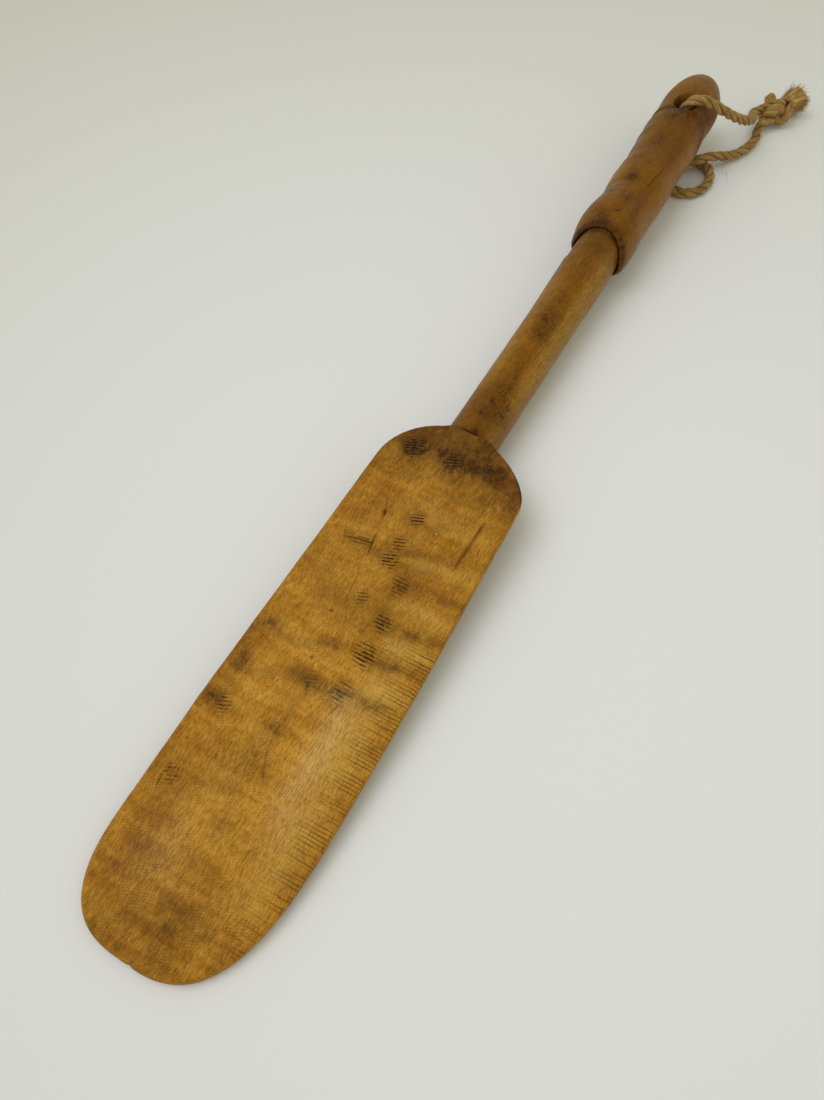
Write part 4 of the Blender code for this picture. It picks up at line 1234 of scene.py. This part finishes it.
soft = 0.16 * sstep((0.010 - x) / 0.03) + 0.24 * sstep((x - 0.100) / 0.02) + 0.10 * n1
fold = 0.1335 + 0.30 * np.clip((z - 0.030) / 1.0, 0, 0.02)
# painted shade: the shaft darkens where it enters the handle's socket
soft += 0.75 * sstep((x - 0.1295) / 0.004)
mark = np.zeros(len(x))
for cx, cy, r, amt in ((-0.0146, 0.0020, 0.0012, 0.8), (-0.0095, -0.0071, 0.0012, 0.7), (-0.0037, -0.0077, 0.0011, 0.7),
                       (-0.0053, 0.0011, 0.0011, 0.7), (-0.0262, -0.0006, 0.0016, 0.9), (0.0735, 0.0007, 0.0015, 0.5),
                       (0.0577, 0.0021, 0.0014, 0.5)):
    mark = np.maximum(mark, amt * blob(x, y, cx, cy, r, r * 0.8, 0.3, 0.9) * top)
    soft += 0.35 * amt * blob(x, y, cx, cy, r * 2.6, r * 2.2) * top
for k in range(26):
    cx, cy = float(rng.uniform(-0.02, 0.115)), float(rng.uniform(-0.011, 0.013))
    half = float(rng.uniform(0.0012, 0.0050))
    mark = np.maximum(mark, float(rng.uniform(0.15, 0.45)) * top
                      * line(x, y, [(cx - half, cy), (cx + half, cy + float(rng.normal(0, 0.0003)))], 0.0005))
soft += 0.55 * np.exp(-((x + 0.0275) / 0.0016) ** 2)
# painted highlights: lighter along the upper left side, and a painted reflection of the floor along the right side
gold_figure_and_sheen = 0.22 * sstep((y - 0.004) / 0.006) * top * sstep((x + 0.01) / 0.03) * (1 - sstep((x - 0.09) / 0.03))
gold_figure_and_sheen += 0.42 * sstep((-0.003 - y) / 0.006) * (1 - sstep((x - 0.11) / 0.03))
rust = 0.22 * sstep((0.02 - x) / 0.03) + 0.12 * np.clip(n1 * 2, 0, 1)
crumbs = 1.2 * blob(x, y, -0.0100, -0.0025, 0.0070, 0.0065) * top + 0.5 * blob(x, y, 0.1250, 0.0000, 0.014, 0.010) * top
for cx, cy, rx, ry, amt in ((0.0592, 0.0016, 0.0075, 0.0055, 1.2), (0.0454, -0.0013, 0.0055, 0.0050, 0.9),
                            (0.0200, -0.0011, 0.0080, 0.0022, 0.9), (0.0030, -0.0013, 0.0065, 0.0060, 1.0)):
    crumbs += amt * blob(x, y, cx, cy, rx, ry, 0.2, 1.0) * top
    soft += 0.34 * amt * blob(x, y, cx, cy, rx, ry, 0.2, 0.9) * top * (0.8 + 0.8 * n2)
crumbs += 0.30 * np.clip(n1 * 2.2 - 0.2, 0, 1)
soft += 0.30 * blob(x, y, -0.0090, -0.0020, 0.0090, 0.0085) * top
paint(shaft, "paint", soft, mark, gold_figure_and_sheen, rust)
paint(shaft, "more", x * 0, crumbs, x * 0, x * 0)

# handle
def collar_rise(dz):
    back = np.sqrt(dz * dz + 0.000016) - 0.004
    return np.where(dz > 0, 0.62, 0.50) * back


def collar_lean(x, dy, dz):
    return (0.12 * dy + collar_rise(dz)) * (1 - smooth((x - 0.136) / 0.075))


WAISTS = ((0.1735, 0.0009), (0.2065, 0.0008), (0.2360, 0.0004))
NG = 224
ang = np.linspace(0, 2 * pi, NG, endpoint=False)


def grip_row(xs, size=1.0, carve=True):
    r = grip_radius(xs) * size
    yc, zc = grip_axis_y(xs), grip_axis_z(xs)
    heel = 0.0018 * smooth((xs - LIP_X) / 0.010) * (1 - smooth((xs - 0.150) / 0.030))
    down = np.maximum(0, -np.cos(ang)) ** 3
    rr = np.full(NG, r)
    if carve:
        up = np.clip(np.cos(ang), 0, 1)
        calm = 1 - np.exp(-((xs - PIN_X) / 0.004) ** 2) * np.exp(-(np.sin(ang) / 0.30) ** 2) * (np.cos(ang) > 0)
        deep = smooth((xs - LIP_X - 0.003) / 0.006) * (1 - smooth((xs - 0.288) / 0.012))
        q = np.stack([np.full(NG, xs * 42), np.sin(ang) * 1.5, np.cos(ang) * 1.5], 1)
        lump = value_noise(q, 91) * 0.00024 + value_noise(q * 2.4, 93) * 0.00010 - 0.00030
        low = 1 - 0.9 * np.exp(-((np.cos(ang) + 1) / 0.12) ** 2)
        rr = rr + lump * calm * deep * low
        # shallow waists between the shaved knuckles on the left flank
        flank = np.clip(np.sin(ang), 0, 1) ** 1.5 * (0.35 + 0.65 * np.clip(np.cos(ang) + 0.55, 0, 1)) * low
        for waist, cut in WAISTS:
            rr = rr - cut * flank * np.exp(-((xs - waist) / 0.0042) ** 2)
        # the knife step that sets off the knob, strongest on the upper left
        side = np.clip(0.55 + 0.75 * np.sin(ang + 0.55), 0, 1)
        stepx = xs - 0.2494 - 0.0012 * np.sin(2.0 * ang)
        rr = rr - 0.00062 * side * np.exp(-(stepx / 0.0050) ** 2) * (stepx < 0) * low
        rr = rr - 0.00028 * side * np.exp(-(stepx / 0.0011) ** 2) * low
    y = rr * np.sin(ang)
    dz = (rr + heel * down) * np.cos(ang)
    zz = zc + dz
    if xs < 0.168:
        zz = np.maximum(zz, 0.0)
    return np.stack([xs + collar_lean(xs, y, dz), yc + y, zz], 1)


gx, xs = [], LIP_X
while xs < 0.30350:
    gx.append(xs)
    if xs < 0.1320:
        xs += 0.00022
    elif xs < 0.288:
        xs += 0.00050
    else:
        xs += max(0.00004, 0.00050 * sqrt(max(0.0, (END_X - xs) / 0.017)))
gx.append(0.30355)
rows = [grip_row(LIP_X, 0.55, False), grip_row(LIP_X, 0.80, False)] + [grip_row(v) for v in gx]
# ease the outer corner of the lip
for k in range(2, 6):
    c = rows[k].mean(axis=0)
    rows[k][:, 1:] = c[1:] + (rows[k][:, 1:] - c[1:]) * (1 - 0.020 * (1 - (k - 2) / 4) ** 2)
    rows[k][:, 2] = np.maximum(rows[k][:, 2], 0.0)
grip = mesh_object("grip_carved", np.concatenate(rows), ring_faces(len(rows), NG))
outward(grip)


def socket_row(xs, r, lean):
    dy, dz = r * np.sin(ang), r * np.cos(ang)
    return np.stack([xs + lean * (0.12 * dy + collar_rise(dz)), AXIS_Y + dy, shaft_axis_z(xs) + dz], 1)


socket = mesh_object("socket_cutter", np.concatenate([
    socket_row(0.1120, SHAFT_R + 0.0012, 1), socket_row(0.1300, SHAFT_R + 0.0012, 1),
    socket_row(0.1322, SHAFT_R + 0.0009, 0.96),
    socket_row(0.1350, SHAFT_R + GAP, 0.9), socket_row(SOCKET_X, SHAFT_R + GAP, 0)]), ring_faces(5, NG))
outward(socket)


def mouth(depth):
    return HOLE_R + 0.0040 * clamp(1 - depth / 0.0080) ** 1.7


profile = [(mouth(0) + 0.001, TOP_Z + 0.008), (mouth(0) + 0.001, TOP_Z + 0.001)]
for k in range(17):
    profile.append((mouth(0.0005 * k), TOP_Z - 0.0005 * k))
for k in range(17):
    profile.append((mouth(0.0080 - 0.0005 * k), LOW_Z + 0.0080 - 0.0005 * k))
profile += [(mouth(0) + 0.001, LOW_Z - 0.001), (mouth(0) + 0.001, LOW_Z - 0.006)]
verts = []
for r, zz in profile:
    for i in range(96):
        a = 2 * pi * i / 96
        verts.append((HOLE_X + r * cos(a), HOLE_Y + r * sin(a), zz))
bore = mesh_object("bore_cutter", verts, ring_faces(len(profile), 96))
outward(bore)
fast_subtract(grip, socket, bore,
              cylinder("pin_hole", PIN_X, AXIS_Y, 0.00208, PIN_FOOT - GAP, PIN_TOP + 0.006))
resharpen(grip, 46)
co = coords(grip)
no = normals(grip)
x, y, z = co[:, 0], co[:, 1], co[:, 2]
axis_z = np.array([grip_axis_z(v) for v in x])
top = sstep((z - axis_z + 0.004) / 0.006)
n1 = fractal(np.stack([x * 60, y * 90, z * 90], 1), 101, 3)
n2 = fractal(np.stack([x * 230, y * 280, z * 280], 1), 103, 3)
cross = value_noise(np.stack([x * 120 + y * 14, y * 20, z * 20], 1), 107)
soft = 0.14 + 0.16 * np.clip(n1 * 1.6, -0.6, 1) + 0.14 * np.clip(cross, 0, 1)
soft += 0.26 * (1 - sstep((x - 0.140) / 0.020)) + 0.26 * sstep((x - 0.226) / 0.02) * (1 - sstep((x - 0.262) / 0.012))
mark = np.zeros(len(x))
for cx, cy, r, amt in ((0.1427, 0.0071, 0.0011, 0.8), (0.1398, 0.0021, 0.0010, 0.8), (0.2387, 0.0040, 0.0016, 0.8),
                       (0.2133, 0.0031, 0.0012, 0.7), (0.2146, 0.0143, 0.0013, 0.6), (0.1948, 0.0004, 0.0013, 0.7),
                       (0.1800, 0.0048, 0.0012, 0.7), (0.1656, 0.0119, 0.0013, 0.7), (0.1622, 0.0002, 0.0012, 0.7),
                       (0.2234, 0.0186, 0.0014, 0.6)):
    mark = np.maximum(mark, 0.40 * amt * blob(x, y, cx, cy, r, r * 0.7, 0.3, 0.9) * top)
    soft += 0.20 * amt * blob(x, y, cx, cy, r * 2.8, r * 2.4) * top * (1 + n2)
mark = np.maximum(mark, 0.7 * top * line(x, y, [(0.1970, -0.0084), (0.1864, -0.0070), (0.1777, -0.0062)], 0.0005))
for k in range(44):
    cx, cy = float(rng.uniform(0.150, 0.285)), float(rng.uniform(-0.014, 0.016))
    half = float(rng.uniform(0.0010, 0.0042))
    mark = np.maximum(mark, float(rng.uniform(0.15, 0.50)) * top
                      * line(x, y, [(cx - half, cy), (cx + half, cy + float(rng.normal(0, 0.0004)))], 0.00055))
mark = np.maximum(mark, 0.75 * top * line(x, y, [(0.2400, -0.0165), (0.2518, -0.0146), (0.2519, -0.0095)], 0.0008))
mark = np.maximum(mark, 0.60 * np.clip(0.55 + 0.75 * (y - HOLE_Y) / 0.018, 0, 1) * top
                  * np.exp(-((x - 0.2494 - 0.0003) / 0.0006) ** 2) * (0.7 + 0.5 * n2))
soft += 0.42 * blob(x, y, 0.2485, 0.0010, 0.0050, 0.0100) * top
# painted shade in the cord hole, and darker wood round its mouth
rim = np.hypot(x - HOLE_X, y - HOLE_Y)
soft += 0.75 * np.clip(1 - (rim - 0.0045) / 0.0042, 0, 1)
# painted highlights: a sheen on the right flank, a spot on the knob, the knob's end and the upper left flank
gold_figure_and_sheen = 0.30 * blob(x, y, 0.2350, -0.0160, 0.0160, 0.0030, 0.0, 1.2) + 0.25 * blob(x, y, 0.2747, -0.0076, 0.0030, 0.0026)
gold_figure_and_sheen += 0.08 * sstep((x - 0.266) / 0.012) * np.clip(0.4 + 0.6 * n1, 0, 1)
gold_figure_and_sheen += 0.22 * sstep((y - 0.010) / 0.006) * top * (1 - sstep((x - 0.225) / 0.02)) * sstep((x - 0.155) / 0.02)
rust = np.zeros(len(x))
for cx, cy in ((0.2231, -0.0096), (0.1708, -0.0052), (0.2062, -0.0086), (0.1575, -0.0068)):
    rust += 0.55 * blob(x, y, cx, cy, 0.0085, 0.0036) * top * (0.8 + 0.6 * n2)
# painted shade inside the socket and at the lip's mouth, strongest on the left where the lip overhangs
inside_socket = sstep((0.1310 - (x - 0.5 * np.maximum(z - axis_z, 0))) / 0.003)
soft += 0.30 * inside_socket
front = x - LIP_X - collar_lean(LIP_X, y - AXIS_Y, z - axis_z)
soft += 1.30 * np.clip(1 - (front - 0.0003) / 0.0034, 0, 1) * (0.75 + 0.7 * n2) * (0.35 + 0.65 * sstep((y + 0.006) / 0.012))
# painted highlight: a bright line on the lip's rim on the right side
gold_figure_and_sheen += 0.50 * np.exp(-((front - 0.0006) / 0.0008) ** 2) * sstep((-0.002 - y) / 0.006)
rust += 0.30 * (1 - sstep((front - 0.0010) / 0.0060)) * top
crumbs = 0.18 * np.clip(n1 * 2.2 - 0.2, 0, 1)
for cx, cy, r in ((0.2400, 0.0040, 0.0062), (0.2165, 0.0045, 0.0056), (0.2139, 0.0183, 0.0044),
                  (0.1990, 0.0110, 0.0062), (0.1800, 0.0048, 0.0052), (0.1694, 0.0153, 0.0050), (0.1622, 0.0002, 0.0044),
                  (0.2290, 0.0160, 0.0050), (0.1427, 0.0071, 0.0044)):
    crumbs += 1.1 * blob(x, y, cx, cy, r, r * 0.9) * top
    soft += 0.55 * blob(x + 0.0012 * n2, y + 0.0010 * n1, cx, cy, r * 1.25, r * 0.90, 0.3, 0.9) * top * (0.8 + 0.8 * n2)
# painted reflection: lighter along the right side of the handle
gold_figure_and_sheen += 0.40 * sstep((-0.009 - y) / 0.005) * (1 - sstep((x - 0.225) / 0.02)) * (0.8 + 0.6 * n1)
# lighter along the top, with a painted highlight over the upper left
soft -= 0.16 * top
gold_figure_and_sheen += 0.16 * top * sstep((y + 0.004) / 0.010) * (0.7 + 0.6 * n1)
paint(grip, "paint", soft, mark, gold_figure_and_sheen, rust)
paint(grip, "more", x * 0, crumbs, x * 0, x * 0)

# ----------------------------------------------------------------- materials
BLADE_WOOD = wood_material("blade_curly_wood", (0.165, 0.056, 0.0036), (0.300, 0.114, 0.0085),
                           (0.425, 0.184, 0.0155), (0.560, 0.276, 0.0340), curl=1.0, rough=0.42, spec=0.16, fleck=0.80)
SHAFT_WOOD = wood_material("shaft_curly_wood", (0.104, 0.038, 0.0016), (0.174, 0.066, 0.0028),
                           (0.242, 0.097, 0.0048), (0.325, 0.142, 0.0100), curl=0.5, rough=0.38, fleck=0.7, spec=0.18)
GRIP_WOOD = wood_material("grip_curly_wood", (0.092, 0.031, 0.0010), (0.162, 0.058, 0.0018),
                          (0.230, 0.089, 0.0034), (0.316, 0.135, 0.0075), curl=0.25, rough=0.34, fleck=0.5, spec=0.20,
                          shade_and_stain_colour=(0.034, 0.012, 0.003), gold=(0.44, 0.20, 0.024))
PEG_WOOD = wood_material("peg_wood", (0.085, 0.032, 0.003), (0.130, 0.052, 0.006), (0.175, 0.072, 0.009),
                         (0.230, 0.100, 0.014), curl=0.4, painted=False, rough=0.40, fleck=0.5, spec=0.20)
finish(blade, BLADE_WOOD, "blade_wood", "paddle", "blade")
finish(shaft, SHAFT_WOOD, "shaft_wood", "paddle", "shaft")
finish(grip, GRIP_WOOD, "grip_wood", "paddle", "grip")
for ob in bpy.data.objects:
    if ob.type == "MESH" and ob.name in ("lap_peg_front", "lap_peg_rear", "grip_pin"):
        for s in ob.material_slots:
            s.material = PEG_WOOD

# --------------------------------------------------------------- floor, light
floor = mesh_object("floor", [(-3, -3, 0), (3, -3, 0), (3, 3, 0), (-3, 3, 0)], [(0, 1, 2, 3)])
floor.location.z = -0.00002
fm = Nodes("pale_floor")
fm.bsdf.inputs["Base Color"].default_value = (0.80, 0.80, 0.765, 1)
fm.bsdf.inputs["Roughness"].default_value = 0.85
fm.bsdf.inputs["Specular IOR Level"].default_value = 0.15
floor.data.materials.append(fm.mat)

world = scene.world or bpy.data.worlds.new("studio")
scene.world = world
world.use_nodes = True
bg = world.node_tree.nodes.get("Background")
bg.inputs["Color"].default_value = (1.0, 0.988, 0.832, 1)
bg.inputs["Strength"].default_value = 0.60


def soft_box(name, location, target, size, power, color, spread=180):
    li = bpy.data.lights.new(name, "AREA")
    li.shape = "RECTANGLE"
    li.size, li.size_y = size
    li.energy = power
    li.color = color
    li.spread = radians(spread)
    ob = bpy.data.objects.new(name, li)
    scene.collection.objects.link(ob)
    loc = Vector(location)
    ob.location = loc
    ob.rotation_euler = (Vector(target) - loc).to_track_quat("-Z", "Y").to_euler()
    return ob


soft_box("key_softbox", (-0.25, 0.30, 0.90), (-0.05, -0.15, 0.0), (0.9, 0.8), 1.16, (0.770, 0.823, 1.0), 70)
